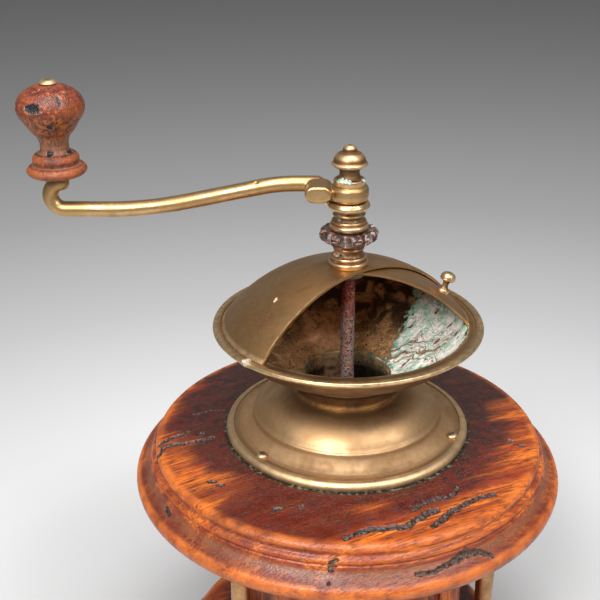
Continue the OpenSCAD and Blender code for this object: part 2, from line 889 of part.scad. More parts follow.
// The rod in its own plane, from the lug over the dip to the curl under the knob
module crank_rod() {
  swept_bar(concat(
    cap_stations(rod_start, rod_z, 1, -72, 0, 4),
    arc_stations(bend_1_start, rod_z - bend_1_r, bend_1_r, 90, 90 - dip_angle, 4),
    arc_stations(bend_2_end, rod_low_z + bend_2_r, bend_2_r, -90 - dip_angle, -90, 5),
    arc_stations(curl_x, curl_z, curl_r, -90, 90, 12),
    cap_stations(curl_end, curl_z + curl_r, -1, 0, 72, 4)
  ));
}

// Lug beside the hub: a flat bar with round edges that runs across the rod's end
module crank_lug() {
  side = lug_h / 2;
  translate([hub_r - 1.1 + lug_w / 2, lug_reach, z_lug]) rotate([90, 0, 0])
    linear_extrude(lug_reach + rod_offset) {
      translate([0, side]) square([lug_w - 2 * side, lug_h], center = true);
      for (sx = [-1, 1])
        translate([sx * (lug_w / 2 - side), side]) circle(side);
    }
}

module crank_arm() {
  bottom = z_hub;
  color("#b9935a") difference() {
    rotate(crank_az) union() {
      translate([0, 0, bottom]) turned([
        [0, 0, 0],
        [hub_r - 1.9, 0, -0.5],
        [hub_r - 0.1, 2.4, -0.1],
        [hub_r, hub_h - 2.9, -0.7],
        [hub_r - 1.7, hub_h, 0],
        [0, hub_h, 0]
      ]);
      crank_lug();
      translate([0, -rod_offset, 0]) crank_rod();
    }
    translate([-tang_w / 2 - fit, -tang_w / 2 - fit, bottom - cut])
      cube([tang_w + 2 * fit, tang_w + 2 * fit, hub_h + 2 * cut]);
    place_crank_knob() translate([0, 0, -knob_pin_hole_l])
      cylinder(r = knob_pin_r + fit, h = knob_pin_hole_l + cut);
  }
}

// Moves the children to the knob's axis, at the top of the crank's curl
module place_crank_knob() {
  rotate(crank_az) translate([crank_l, -rod_offset, curl_top]) children();
}

module finial_nut() {
  r = hub_r - 1.55;
  waist_r = r - 2.5;
  cap_r = r + 0.8;
  color("#b08d57") translate([0, 0, z_finial]) difference() {
    turned([
      [0, 0, 0],
      [r - 0.1, 0, 0],
      [r, 2.3, 0],
      [r - 0.4, 2.6, 0.5],
      [waist_r, 4.8, 0],
      [waist_r, 6.2, 0.3],
      [cap_r - 0.6, 8.1, 0],
      [cap_r, 8.7, -0.3],
      [cap_r - 0.2, 9.8, 0],
      [cap_r - 0.7, 10.2, -1],
      [3.3, 14.3, 0],
      [2.9, 14.5, -1],
      [0.6, finial_h, 0],
      [0, finial_h, 0]
    ]);
    translate([0, 0, -cut]) cylinder(r = stud_r + fit, h = stud_l + cut + seat_gap);
  }
}

module knob_spindle() {
  top = knob_h + 2 * seat_gap;
  color("#b08d57") place_crank_knob() turned([
    [0, -knob_pin_hole_l, 0],
    [knob_pin_r, -knob_pin_hole_l, 0],
    [knob_pin_r, top, 0],
    [button_r - 0.2, top, 0],
    [button_r, top + 0.4, -0.5],
    [0.8, top + button_h, 0],
    [0, top + button_h, 0]
  ]);
}

module crank_knob() {
  bore = knob_pin_r + running;
  h = knob_h;
  foot = knob_foot_r;
  waist = knob_waist_r;
  head = knob_r;
  color("#a5471d") place_crank_knob() translate([0, 0, seat_gap]) turned([
    [bore, 0, 0],
    [foot - 2.9, 0, -0.6],
    [foot, 2.3, -0.7],
    [foot - 2.6, 4.8, 0],
    [foot - 3.5, 5.1, 0],
    [foot - 3.4, 5.6, -0.6],
    [foot - 3.7, 9.2, 0],
    [foot - 4.8, 10, 0.8],
    [waist, 12.9, 0.2],
    [waist + 0.2, 15.4, 0.35],
    [waist + 2.4, 19, -0.1],
    [head - 2.4, h - 15, -0.5],
    [head, h - 9.6, -1.9],
    [head - 6.8, h - 1.1, -0.3],
    [head - 9.6, h, 0],
    [bore, h, 0]
  ]);
}

// Triangular prism that cuts one burr tooth, lying along +X with its edge inwards
module tooth_cutter(length, depth, width) {
  rotate([90, 0, 90]) linear_extrude(length, center = true)
    polygon([[0, -depth], [width / 2, cut], [-width / 2, cut]]);
}

module outer_burr() {
  slope = atan2(burr_mouth_r - inner_burr_r - burr_gap, burr_h);
  color("#4d4a47") difference() {
    translate([0, 0, z_burr]) turned([
      [inner_burr_r + burr_gap, 0, 0],
      [burr_body_r, 0, 0],
      [burr_body_r, burr_h - burr_flange_t - 1, 0.5],
      [burr_body_r + 1.5, burr_h - burr_flange_t, 0],
      [burr_flange_r, burr_h - burr_flange_t, 0],
      [burr_flange_r, burr_h, 0],
      [burr_mouth_r, burr_h, 0]
    ]);
    for (i = [0:outer_teeth - 1])
      rotate(360 * i / outer_teeth) translate([burr_mouth_r, 0, z_burr + burr_h - 8])
        rotate([12, 90 - slope, 0]) mirror([0, 0, 1]) tooth_cutter(18, 1.4, 4);
    ring_of(4, burr_screw_circle_r, burr_screw_az)
      translate([0, 0, z_burr - cut]) cylinder(r = screw_r + fit, h = burr_h + 2 * cut);
    ring_of(4, burr_screw_circle_r, burr_screw_az)
      translate([0, 0, z_burr - cut])
        cylinder(r = screw_head_r + 0.5, h = burr_h - burr_flange_t + cut);
    ring_of(2, bridge_screw_r)
      translate([0, 0, z_burr - cut]) cylinder(r = screw_r + fit, h = bridge_screw_l + 2 * cut);
  }
}

module inner_burr() {
  slope = atan2(inner_burr_r - inner_burr_top_r, inner_burr_h);
  mid_r = (inner_burr_r + inner_burr_top_r) / 2;
  color("#55504b") difference() {
    translate([0, 0, z_burr]) turned([
      [spindle_r + fit, 0, 0],
      [inner_burr_r, 0, 0],
      [inner_burr_r, 3, 0],
      [inner_burr_top_r, inner_burr_h, 0],
      [spindle_r + fit, inner_burr_h, 0]
    ]);
    for (i = [0:inner_teeth - 1])
      rotate(360 * i / inner_teeth) translate([mid_r, 0, z_burr + inner_burr_h / 2])
        rotate([18, 90 - slope, 180]) mirror([0, 0, 1]) tooth_cutter(inner_burr_h * 1.6, 1.6, 3.4);
    translate([0, 0, z_pin]) rotate([0, 90, 0])
      cylinder(r = burr_pin_r + fit, h = 3 * inner_burr_r, center = true);
  }
}

module burr_pin() {
  color("#7a7672") translate([0, 0, z_pin]) rotate([0, 90, 0])
    cylinder(r = burr_pin_r, h = 2 * inner_burr_top_r, center = true);
}

module bearing_bridge() {
  half_l = burr_body_r - 1;
  color("#4d4a47") translate([0, 0, z_burr - bridge_t]) difference() {
    union() {
      block([-half_l, -bridge_w / 2, 0], [half_l, bridge_w / 2, bridge_t]);
      translate([0, 0, -4]) cylinder(r = bridge_w / 2, h = 4 + bridge_t / 2);
    }
    translate([0, 0, -4 - cut]) cylinder(r = spindle_r + running, h = bridge_t + 4 + 2 * cut);
    ring_of(2, bridge_screw_r)
      translate([0, 0, -cut]) cylinder(r = screw_r + fit, h = bridge_t + 2 * cut);
  }
}

module burr_screws() {
  color("#7a7672") ring_of(4, burr_screw_circle_r, burr_screw_az)
    translate([0, 0, z_under - burr_flange_t]) mirror([0, 0, 1])
      round_screw(burr_screw_l + burr_flange_t - seat_gap);
}

module bridge_screws() {
  color("#7a7672") ring_of(2, bridge_screw_r)
    translate([0, 0, z_burr - bridge_t]) mirror([0, 0, 1])
      round_screw(bridge_screw_l + bridge_t - seat_gap);
}

base_plate();
top_plate();
corner_posts();
left_panel();
right_panel();
back_panel();
front_panel();
mill_board();
drawer_guides();
right_column();
rear_column();
left_column();
base_screws();
drawer_front();
drawer_left_side();
drawer_right_side();
drawer_back();
drawer_floor();
drawer_knob();
hopper_flange();
flange_screws();
hopper_bowl();
hopper_cover();
hopper_door();
door_knob();
top_bush();
bush_nut();
adjusting_wheel();
spindle();
spindle_collar();
crank_arm();
finial_nut();
knob_spindle();
crank_knob();
outer_burr();
inner_burr();
burr_pin();
bearing_bridge();
burr_screws();
bridge_screws();
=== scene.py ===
"""Table coffee mill: a mahogany case between turned plates, with a brass hopper and its crank on top.

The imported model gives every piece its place. Turned pieces are spun from outlines in millimetres
and stand on the lowest level of the solid that they dress.
"""

from __future__ import annotations

import json
import logging
import math
from collections.abc import Callable, Iterable, Sequence
from dataclasses import dataclass, field
from enum import Enum
from functools import partial

import bpy
from mathutils import Matrix, Vector, kdtree, noise

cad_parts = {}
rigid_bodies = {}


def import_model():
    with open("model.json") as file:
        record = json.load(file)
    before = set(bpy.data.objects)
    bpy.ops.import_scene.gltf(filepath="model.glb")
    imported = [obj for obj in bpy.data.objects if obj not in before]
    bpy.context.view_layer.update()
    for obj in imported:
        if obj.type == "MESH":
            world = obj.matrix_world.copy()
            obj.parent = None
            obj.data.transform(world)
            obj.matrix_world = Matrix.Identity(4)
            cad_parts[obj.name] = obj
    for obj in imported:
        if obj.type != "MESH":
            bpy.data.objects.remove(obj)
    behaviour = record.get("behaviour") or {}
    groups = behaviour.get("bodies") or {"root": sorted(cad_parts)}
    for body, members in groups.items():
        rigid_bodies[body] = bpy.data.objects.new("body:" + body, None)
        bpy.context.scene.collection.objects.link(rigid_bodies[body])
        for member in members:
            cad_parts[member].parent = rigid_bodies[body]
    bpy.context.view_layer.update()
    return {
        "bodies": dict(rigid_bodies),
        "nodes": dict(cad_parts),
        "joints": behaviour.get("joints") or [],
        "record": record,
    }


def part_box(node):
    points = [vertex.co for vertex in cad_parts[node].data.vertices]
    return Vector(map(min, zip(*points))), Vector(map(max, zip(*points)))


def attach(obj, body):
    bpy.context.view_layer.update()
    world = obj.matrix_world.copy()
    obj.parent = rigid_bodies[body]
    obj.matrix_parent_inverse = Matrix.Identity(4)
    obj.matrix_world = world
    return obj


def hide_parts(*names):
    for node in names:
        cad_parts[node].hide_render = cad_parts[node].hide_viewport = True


log = logging.getLogger("coffee_mill")

MM = 0.001
WELD = 0.004 * MM
UP = Vector((0, 0, 1))
SOFT = {"interpolation_type": "SMOOTHSTEP"}
Row = tuple[float, float, float]
Point = tuple[float, float]
Value = object


class Body(str, Enum):
    """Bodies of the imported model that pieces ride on."""

    CASE = "mill_case"
    DRAWER = "drawer"
    DOOR = "door"
    ADJUSTER = "adjuster"
    CRANK = "crank"
    GRIP = "grip"


class Slot(str, Enum):
    """Material slots of the record."""

    PLATE = "plate_wood"
    CASE = "case_wood"
    DRAWER = "drawer_wood"
    KNOB = "knob_wood"
    BRASS = "brass"
    IRON = "iron"
    STEEL = "steel"


# ---------------------------------------------------------------- node trees


def paint(code: str) -> tuple[float, float, float, float]:
    """Turns an sRGB hex code to a linear colour.

    Args:
        code: Colour such as "#a98457".

    Returns:
        Linear red, green, blue and an alpha of 1.
    """
    parts = (int(code[i : i + 2], 16) / 255 for i in (1, 3, 5))
    red, green, blue = (p / 12.92 if p <= 0.04045 else ((p + 0.055) / 1.055) ** 2.4 for p in parts)
    return red, green, blue, 1.0


def add(
    tree: bpy.types.NodeTree, kind: str, *values: Value, inputs: dict | None = None, **settings: Value
) -> bpy.types.NodeSocket | None:
    """Adds one shader node with its settings and links.

    Args:
        tree: Tree that gets the node.
        kind: Type name without its ShaderNode prefix.
        values: Numbers, hex colours or sockets for the inputs in use, in their order.
        inputs: The same by the input's name.
        settings: Attributes of the node itself.

    Returns:
        The node's first output in use, or None where it has no output.
    """
    node = tree.nodes.new("ShaderNode" + kind)
    for name, value in settings.items():
        setattr(node, name, value)
    in_use = [socket for socket in node.inputs if socket.enabled]
    named = ((node.inputs[name], value) for name, value in (inputs or {}).items())
    for socket, value in (*zip(in_use, values), *named):
        if isinstance(value, bpy.types.NodeSocket):
            tree.links.new(value, socket)
        else:
            socket.default_value = paint(value) if isinstance(value, str) else value
    return next((socket for socket in node.outputs if socket.enabled), None)


@dataclass
class Ground:
    """What patterns are drawn on: object coordinates in millimetres and the marks of a mesh."""

    tree: bpy.types.NodeTree

    def __post_init__(self) -> None:
        """Adds the coordinates that every pattern starts from."""
        self.put = partial(add, self.tree)
        place = self.put("TexCoord").node.outputs["Object"]
        self.at = self.put("Mapping", place, inputs={"Scale": (1 / MM, 1 / MM, 1 / MM)})
        self.height = self.put("SeparateXYZ", self.at).node.outputs["Z"]
        self.flat = self.put("Mapping", self.at, inputs={"Scale": (1, 1, 0)})
        self.radius = self.put("VectorMath", self.flat, operation="LENGTH").node.outputs["Value"]
        self.relief, self.crust, self.track = (
            self.put("Attribute", attribute_name=name).node.outputs["Fac"]
            for name in ("relief", "crust", "track")
        )

    def patches(
        self,
        size: float,
        low: float = 0.3,
        high: float = 0.7,
        grain: tuple[float, float, float] = (1, 1, 1),
        turn: float = 0,
        detail: float = 4,
        twist: float = 0,
    ) -> Value:
        """Random patches with soft borders.

        Args:
            size: Rough width of a patch, in millimetres.
            low: Noise level at which a patch begins.
            high: Noise level at which it is full.
            grain: Stretch of the pattern, below 1 along the way that patches are long.
            turn: Turn of the grain round Z, in degrees.
            detail: Finer octaves.
            twist: Distortion.

        Returns:
            Strength of the patches, 0 to 1.
        """
        where = self.put("Mapping", self.at, inputs={"Rotation": (0, 0, math.radians(turn))})
        where = self.put("Mapping", where, inputs={"Scale": grain})
        inputs = {"Vector": where, "Scale": 1 / size, "Detail": detail, "Distortion": twist}
        noisy = self.put("TexNoise", inputs=inputs)
        return self.put("MapRange", noisy, low, high, 0.0, 1.0, **SOFT)

    def frayed(self, value: Value, by: float, size: float, detail: float = 4) -> Value:
        """Shifts a value up and down in patches, so that its borders fray.

        Args:
            value: What is shifted.
            by: Greatest shift.
            size: Rough width of a patch, in millimetres.
            detail: Finer octaves.

        Returns:
            The shifted value.
        """
        shift = self.put("MapRange", self.patches(size, 0.2, 0.8, detail=detail), 0.0, 1.0, -by, by)
        return self.put("Math", value, shift, operation="ADD")

    def coats(self, colour: Value, *layers: tuple[Value, float, Value]) -> Value:
        """Lays coats of colour over each other.

        Args:
            colour: Colour under them all.
            layers: Pattern that each follows, its strength and its colour, from the lowest up.

        Returns:
            The colour that shows.
        """
        for pattern, strength, tone in layers:
            if strength != 1:
                pattern = self.put("Math", pattern, strength, operation="MULTIPLY")
            colour = self.put("Mix", pattern, colour, tone, data_type="RGBA")
        return colour

    def bumps(self, *layers: tuple[Value, float]) -> Value:
        """Adds patterns up to a relief.

        Args:
            layers: Each pattern and the height that it gives, in millimetres.

        Returns:
            Normal for the shader.
        """
        depth: Value = 0.0
        for pattern, height in layers:
            depth = self.put("Math", pattern, height, depth, operation="MULTIPLY_ADD")
        return self.put("Bump", inputs={"Height": depth, "Distance": MM})


@dataclass(frozen=True)
class Finish:
    """A surface: what it is made of and how it has aged."""

    name: str

    def draw(self, g: Ground) -> dict[str, Value]:
        """Inputs of the surface shader, to be given by each kind of finish."""
        raise NotImplementedError

    def material(self) -> bpy.types.Material:
        """The finish as a material, made once and shared by its pieces.

        Returns:
            The material.
        """
        made = bpy.data.materials.get(self.name)
        if made:
            return made
        made = bpy.data.materials.new(self.name)
        made.use_nodes = True
        tree = made.node_tree
        tree.nodes.clear()
        add(tree, "OutputMaterial", add(tree, "BsdfPrincipled", inputs=self.draw(Ground(tree))))
        return made


@dataclass(frozen=True)
class AgedBrass(Finish):
    """Lathe-turned or spun brass, once polished: brown patina, dirt in its grooves, rubbed edges."""

    body: str = "#c49c68"
    patina: str = "#8c6a44"
    rubbed: str = "#e6c79a"
    dirt: str = "#2b1d10"
    stain: str = "#6f9079"
    bloom: str = "#cfd6c2"
    green: float = 0.0
    gloss: float = 0.34
    pitting: float = 0.3
    soil: float = 0.82
    blotch: float = 16
    shade_below: float = 0
    soot_and_shade: str = "#4b3422"

    def draw(self, g: Ground) -> dict[str, Value]:
        """Cloudy patina over brass, with turning lines, fine pits, verdigris where damp stood and painted
        shade below a given height.

        Args:
            g: Ground that it is drawn on.

        Returns:
            Inputs of the surface shader.
        """
        put = g.put
        blotch = g.patches(self.blotch, 0.32, 0.68, detail=5, twist=0.6)
        mottle = g.patches(2.6, 0.35, 0.75, detail=6)
        grime = put("MapRange", g.relief, -0.06, -0.5, 0.0, 1.0, **SOFT)
        grime = put("Math", grime, put("MapRange", mottle, 0.0, 1.0, 0.7, 1.0), operation="MULTIPLY")
        edge = put("MapRange", g.relief, 0.12, 0.7, 0.0, 1.0, **SOFT)
        edge = put("Math", edge, put("MapRange", mottle, 0.0, 1.0, 0.8, 0.35), operation="MULTIPLY")
        # Pits in brass are about 0.1 mm wide, drawn coarser here so that they show.
        specks = g.patches(0.8, 0.66, 0.74, detail=2)
        colour = g.coats(
            self.body,
            (put("MapRange", blotch, 0.0, 1.0, 0.05, 0.65), 1, self.patina),
            (mottle, 0.3, self.patina),
            # Painted shade: darker below a given height, for the bowl's outside under its rim.
            (put("MapRange", g.height, self.shade_below, self.shade_below - 4, 0.0, 0.75), 1, self.soot_and_shade),
            (edge, 1, self.rubbed),
            (specks, self.pitting, self.dirt),
            (grime, self.soil, self.dirt),
        )
        # Verdigris stands in the grooves of green finishes and on the crust that a mesh is marked with.
        damp = put("Math", grime, g.patches(4, 0.5, 0.62), operation="MULTIPLY")
        damp = put("Math", damp, self.green, operation="MULTIPLY")
        crust = put("MapRange", g.frayed(g.crust, 0.35, 1.4, 6), 0.45, 0.6, 0.0, 1.0, **SOFT)
        bloom = put("Math", damp, crust, operation="MAXIMUM", use_clamp=True)
        powder = put("Mix", g.patches(1.0, 0.4, 0.62), self.stain, self.bloom, data_type="RGBA")
        rough = put("MapRange", blotch, 0.0, 1.0, self.gloss - 0.05, self.gloss + 0.1)
        rough = put("Math", grime, 0.3, rough, operation="MULTIPLY_ADD")
        rough = put("Math", bloom, 0.4, rough, operation="MULTIPLY_ADD", use_clamp=True)
        # Turning lines run level, about 0.1 mm apart, drawn coarser here so that they show.
        rings = g.patches(0.5, 0.2, 0.8, grain=(0.02, 0.02, 1.2), detail=2)
        scuffs = g.patches(0.45, 0.3, 0.7, detail=2)
        dull = put("Math", grime, 0.5, operation="MULTIPLY")
        dull = put("Math", bloom, dull, operation="MAXIMUM")
        return {
            "Base Color": g.coats(colour, (bloom, 1, powder)),
            "Metallic": put("MapRange", dull, 0.0, 1.0, 1.0, 0.15),
            "Roughness": rough,
            "Normal": g.bumps((scuffs, 0.012), (rings, 0.012), (specks, -0.05), (bloom, 0.12)),
        }


@dataclass(frozen=True)
class BowlInside(Finish):
    """Spun brass that beans and damp have eaten: dark and pitted, with a pale green crust on one side."""

    throat: float = 182

    def draw(self, g: Ground) -> dict[str, Value]:
        """Dark tarnish with gold showing through, the crust with its streaks towards the throat, and painted
        light and shade.

        Args:
            g: Ground that it is drawn on.

        Returns:
            Inputs of the surface shader.
        """
        put = g.put
        # Gold that shows through the tarnish, with a painted glow that grows it towards the throat.
        gold_and_glow = g.patches(9, 0.46, 0.66, detail=7, twist=0.8)
        painted_glow = put("MapRange", g.radius, 44.0, 27.0, -0.05, 0.65, **SOFT)
        gold_and_glow = put("Math", gold_and_glow, painted_glow, operation="ADD", use_clamp=True)
        pits = g.patches(1.5, 0.6, 0.66, detail=3)
        metal = g.coats(
            "#4a3323",
            (gold_and_glow, 1, "#dba873"),
            (g.patches(1.2, 0.5, 0.66, detail=5), 0.45, "#5b3a22"),
            (pits, 1, "#0f0a07"),
        )
        # Streaks run down the bowl in a slow swirl: noise over the azimuth, hardly over the place.
        parts = put("SeparateXYZ", g.at).node
        angle = put("Math", parts.outputs["Y"], parts.outputs["X"], operation="ARCTAN2")
        swirl = put("MapRange", g.radius, 20.0, 55.0, 0.0, 0.9)
        angle = g.frayed(put("Math", angle, swirl, operation="ADD"), 0.22, 12, 3)
        flow = put("CombineXYZ", put("Math", angle, 17.0, operation="MULTIPLY"), 0.0, 0.0)
        drift = put("Mapping", g.at, inputs={"Scale": (0.03, 0.03, 0.03)})
        flow = put("VectorMath", flow, drift, operation="ADD")
        inputs = {"Vector": flow, "Scale": 1.0, "Detail": 6.0, "Roughness": 0.62, "Distortion": 1.2}
        streaks = put("TexNoise", inputs=inputs)
        lines = put("MapRange", streaks, 0.54, 0.6, 0.0, 1.0, **SOFT)
        open_rim = put("MapRange", g.radius, 50.0, 42.0, 0.35, 1.0)
        lines = put("Math", lines, open_rim, operation="MULTIPLY")
        veins = put("MapRange", streaks, 0.47, 0.4, 0.0, 1.0, **SOFT)
        ragged = g.frayed(g.crust, 0.42, 3.2, 7)
        crust = put("MapRange", ragged, 0.42, 0.52, 0.0, 1.0, **SOFT)
        powder = g.coats(
            "#7fb39a",
            (put("MapRange", ragged, 0.62, 1.0, 0.0, 1.0, **SOFT), 1, "#e6ddd2"),
            (g.patches(5, 0.5, 0.62, detail=6), 0.75, "#97c2ab"),
            (lines, 1, "#7a5433"),
            (veins, 0.6, "#6c8f78"),
            (g.patches(6, 0.64, 0.68, grain=(0.6, 1.4, 1), detail=5), 1, "#6d4022"),
        )
        lip = put("MapRange", g.radius, 22.1, 21.3, 0.0, 0.75, **SOFT)
        lip = put("Math", lip, g.patches(2.2, 0.42, 0.6), operation="MULTIPLY")
        # Painted pool of warm light on the back of the inside.
        painted_warm_light = put("VectorMath", g.flat, (-3, 31, 0), operation="DISTANCE").node.outputs["Value"]
        painted_warm_light = put("MapRange", painted_warm_light, 16.0, 4.0, 0.0, 1.0, **SOFT)
        painted_warm_light = put("Math", painted_warm_light, g.patches(2.6, 0.3, 0.6, detail=6), operation="MULTIPLY")
        colour = g.coats(
            metal,
            (crust, 1, powder),
            (lip, 1, "#46695a"),
            # Painted shade going down into the throat.
            (put("MapRange", g.height, self.throat - 3, self.throat - 8, 0.0, 0.95), 1, "#140e0a"),
            (painted_warm_light, 1, "#f0b68a"),
        )
        grit = g.patches(0.9, 0.2, 0.8)
        bare = put("MapRange", crust, 0.0, 1.0, 0.6, 0.0)
        bare = put("Math", bare, put("MapRange", pits, 0.0, 1.0, 1.0, 0.2), operation="MULTIPLY")
        return {
            "Base Color": colour,
            "Metallic": bare,
            "Roughness": put("MapRange", crust, 0.0, 1.0, 0.42, 0.9),
            "Normal": g.bumps((crust, 0.35), (lines, -0.22), (veins, -0.12), (pits, -0.2), (grit, 0.1)),
        }


@dataclass(frozen=True)
class RustyMetal(Finish):
    """Iron or steel that was bright once: dark skin, rust in blooms, pits, and edges rubbed pale."""

    body: str = "#5c5854"
    stain: str = "#2f2a27"
    rust: str = "#8a4522"
    rubbed: str = "#b9aca4"
    rusting: float = 0.5
    pits: float = 0.3
    gloss: float = 0.42

    def draw(self, g: Ground) -> dict[str, Value]:
        """Stained metal with rust and pits.

        Args:
            g: Ground that it is drawn on.

        Returns:
            Inputs of the surface shader.
        """
        put = g.put
        rust = put("Math", g.patches(2.0, 0.52, 0.62, detail=6), self.rusting, operation="MULTIPLY")
        pits = put("Math", g.patches(0.9, 0.58, 0.64, detail=3), self.pits, operation="MULTIPLY")
        edge = put("MapRange", g.relief, 0.2, 0.8, 0.0, 0.8, **SOFT)
        edge = put("Math", edge, g.patches(1.5, 0.35, 0.6), operation="MULTIPLY")
        colour = g.coats(
            self.body,
            (g.patches(5, 0.35, 0.7, detail=5), 1, self.stain),
            (rust, 1, self.rust),
            (edge, 1, self.rubbed),
            (pits, 1, "#120d0c"),
        )
        dull = put("Math", rust, pits, operation="MAXIMUM")
        return {
            "Base Color": colour,
            "Metallic": put("MapRange", dull, 0.0, 1.0, 0.9, 0.1),
            "Roughness": put("MapRange", dull, 0.0, 1.0, self.gloss, self.gloss + 0.3),
            "Normal": g.bumps((g.patches(0.6, 0.2, 0.8), 0.08), (rust, 0.08), (pits, -0.2)),
        }


@dataclass(frozen=True)
class ForgedSpindle(Finish):
    """Forged iron rod: red rust where steam met it, grey where beans have rubbed it."""

    level: float = 214

    def draw(self, g: Ground) -> dict[str, Value]:
        """Rust that fades to grey below its level, pitted all over.

        Args:
            g: Ground that it is drawn on.

        Returns:
            Inputs of the surface shader.
        """
        put = g.put
        above = g.frayed(g.height, 9.0, 3)
        pits = g.patches(0.9, 0.54, 0.6, detail=3)
        colour = g.coats(
            "#7d6f6c",
            (put("MapRange", above, self.level - 8, self.level + 6, 0.0, 1.0, **SOFT), 1, "#7c2f20"),
            (g.patches(1.6, 0.5, 0.62, detail=5), 1, "#9a5230"),
            (pits, 1, "#1c100e"),
            (g.patches(0.7, 0.62, 0.68, detail=2), 0.55, "#cdb8b0"),
        )
        return {
            "Base Color": colour,
            "Metallic": 0.35,
            "Roughness": put("MapRange", pits, 0.0, 1.0, 0.38, 0.75),
            "Normal": g.bumps((pits, -0.22), (g.patches(0.5, 0.2, 0.8), 0.1)),
        }


@dataclass(frozen=True)
class Timber(Finish):
    """Mahogany under old shellac: ribbon figure, open pores and darker age in patches."""

    light: str = "#d7701f"
    mid: str = "#86300e"
    dark: str = "#3f130b"
    pores: str = "#260d09"
    dust: str = "#7d5238"
    rubbed: str = "#d2702a"
    turn: float = 0
    along: tuple[float, float, float] = (0.045, 1, 1)
    age: float = 0.45
    gloss: float = 0.32

    def figure(self, g: Ground, show: Value = 1.0) -> tuple[Value, Value]:
        """Bare timber.

        Args:
            g: Ground that it is drawn on.
            show: How strongly its fine lines show.

        Returns:
            Its colour and its pores.
        """
        put, grain = g.put, {"grain": self.along, "turn": self.turn}
        fine = g.patches(1.0, 0.48, 0.6, **grain, detail=4, twist=0.15)
        for share in (g.patches(11, 0.35, 0.6), show):
            fine = put("Math", fine, share, operation="MULTIPLY")
        # Mahogany's pores are about 0.2 mm wide, drawn coarser here so that they show.
        short = tuple(a * 2.6 if a < 0.5 else a for a in self.along)
        pores = g.patches(0.6, 0.57, 0.65, grain=short, turn=self.turn, detail=1)
        pores = put("Math", pores, show, operation="MULTIPLY")
        colour = g.coats(
            self.light,
            (g.patches(9, 0.36, 0.64, **grain, detail=5, twist=0.8), 1, self.mid),
            (g.patches(1.3, 0.4, 0.62, **grain, detail=6, twist=0.3), 0.75, self.mid),
            (fine, 0.65, self.dark),
            (g.patches(24, 0.42, 0.64, **grain), self.age, self.dark),
            (pores, 0.55, self.pores),
        )
        return colour, pores

    def wear(self, g: Ground, colour: Value) -> Value:
        """Lays dirt where the shape is hollow and bares the wood where hands rub it.

        Args:
            g: Ground that it is drawn on.
            colour: Colour of the wood.

        Returns:
            The worn colour.
        """
        put = g.put
        groove = put("MapRange", g.relief, -0.05, -0.6, 0.0, 0.6, **SOFT)
        groove = put("Math", groove, g.patches(3, 0.15, 0.6), operation="MULTIPLY")
        worn = put("MapRange", g.relief, 0.1, 0.7, 0.0, 0.6, **SOFT)
        worn = put("Math", worn, g.patches(9, 0.25, 0.65, detail=5), operation="MULTIPLY")
        return g.coats(colour, (worn, 1, self.rubbed), (groove, 1, self.dust))

    def draw(self, g: Ground) -> dict[str, Value]:
        """Timber under worn shellac.

        Args:
            g: Ground that it is drawn on.

        Returns:
            Inputs of the surface shader.
        """
        colour, pores = self.figure(g)
        return {
            "Base Color": self.wear(g, colour),
            "Metallic": 0.0,
            "Roughness": g.put("MapRange", g.patches(6), 0.0, 1.0, self.gloss, self.gloss + 0.18),
            "Normal": g.bumps((g.patches(1.1, 0.2, 0.8), 0.05), (pores, -0.12)),
        }


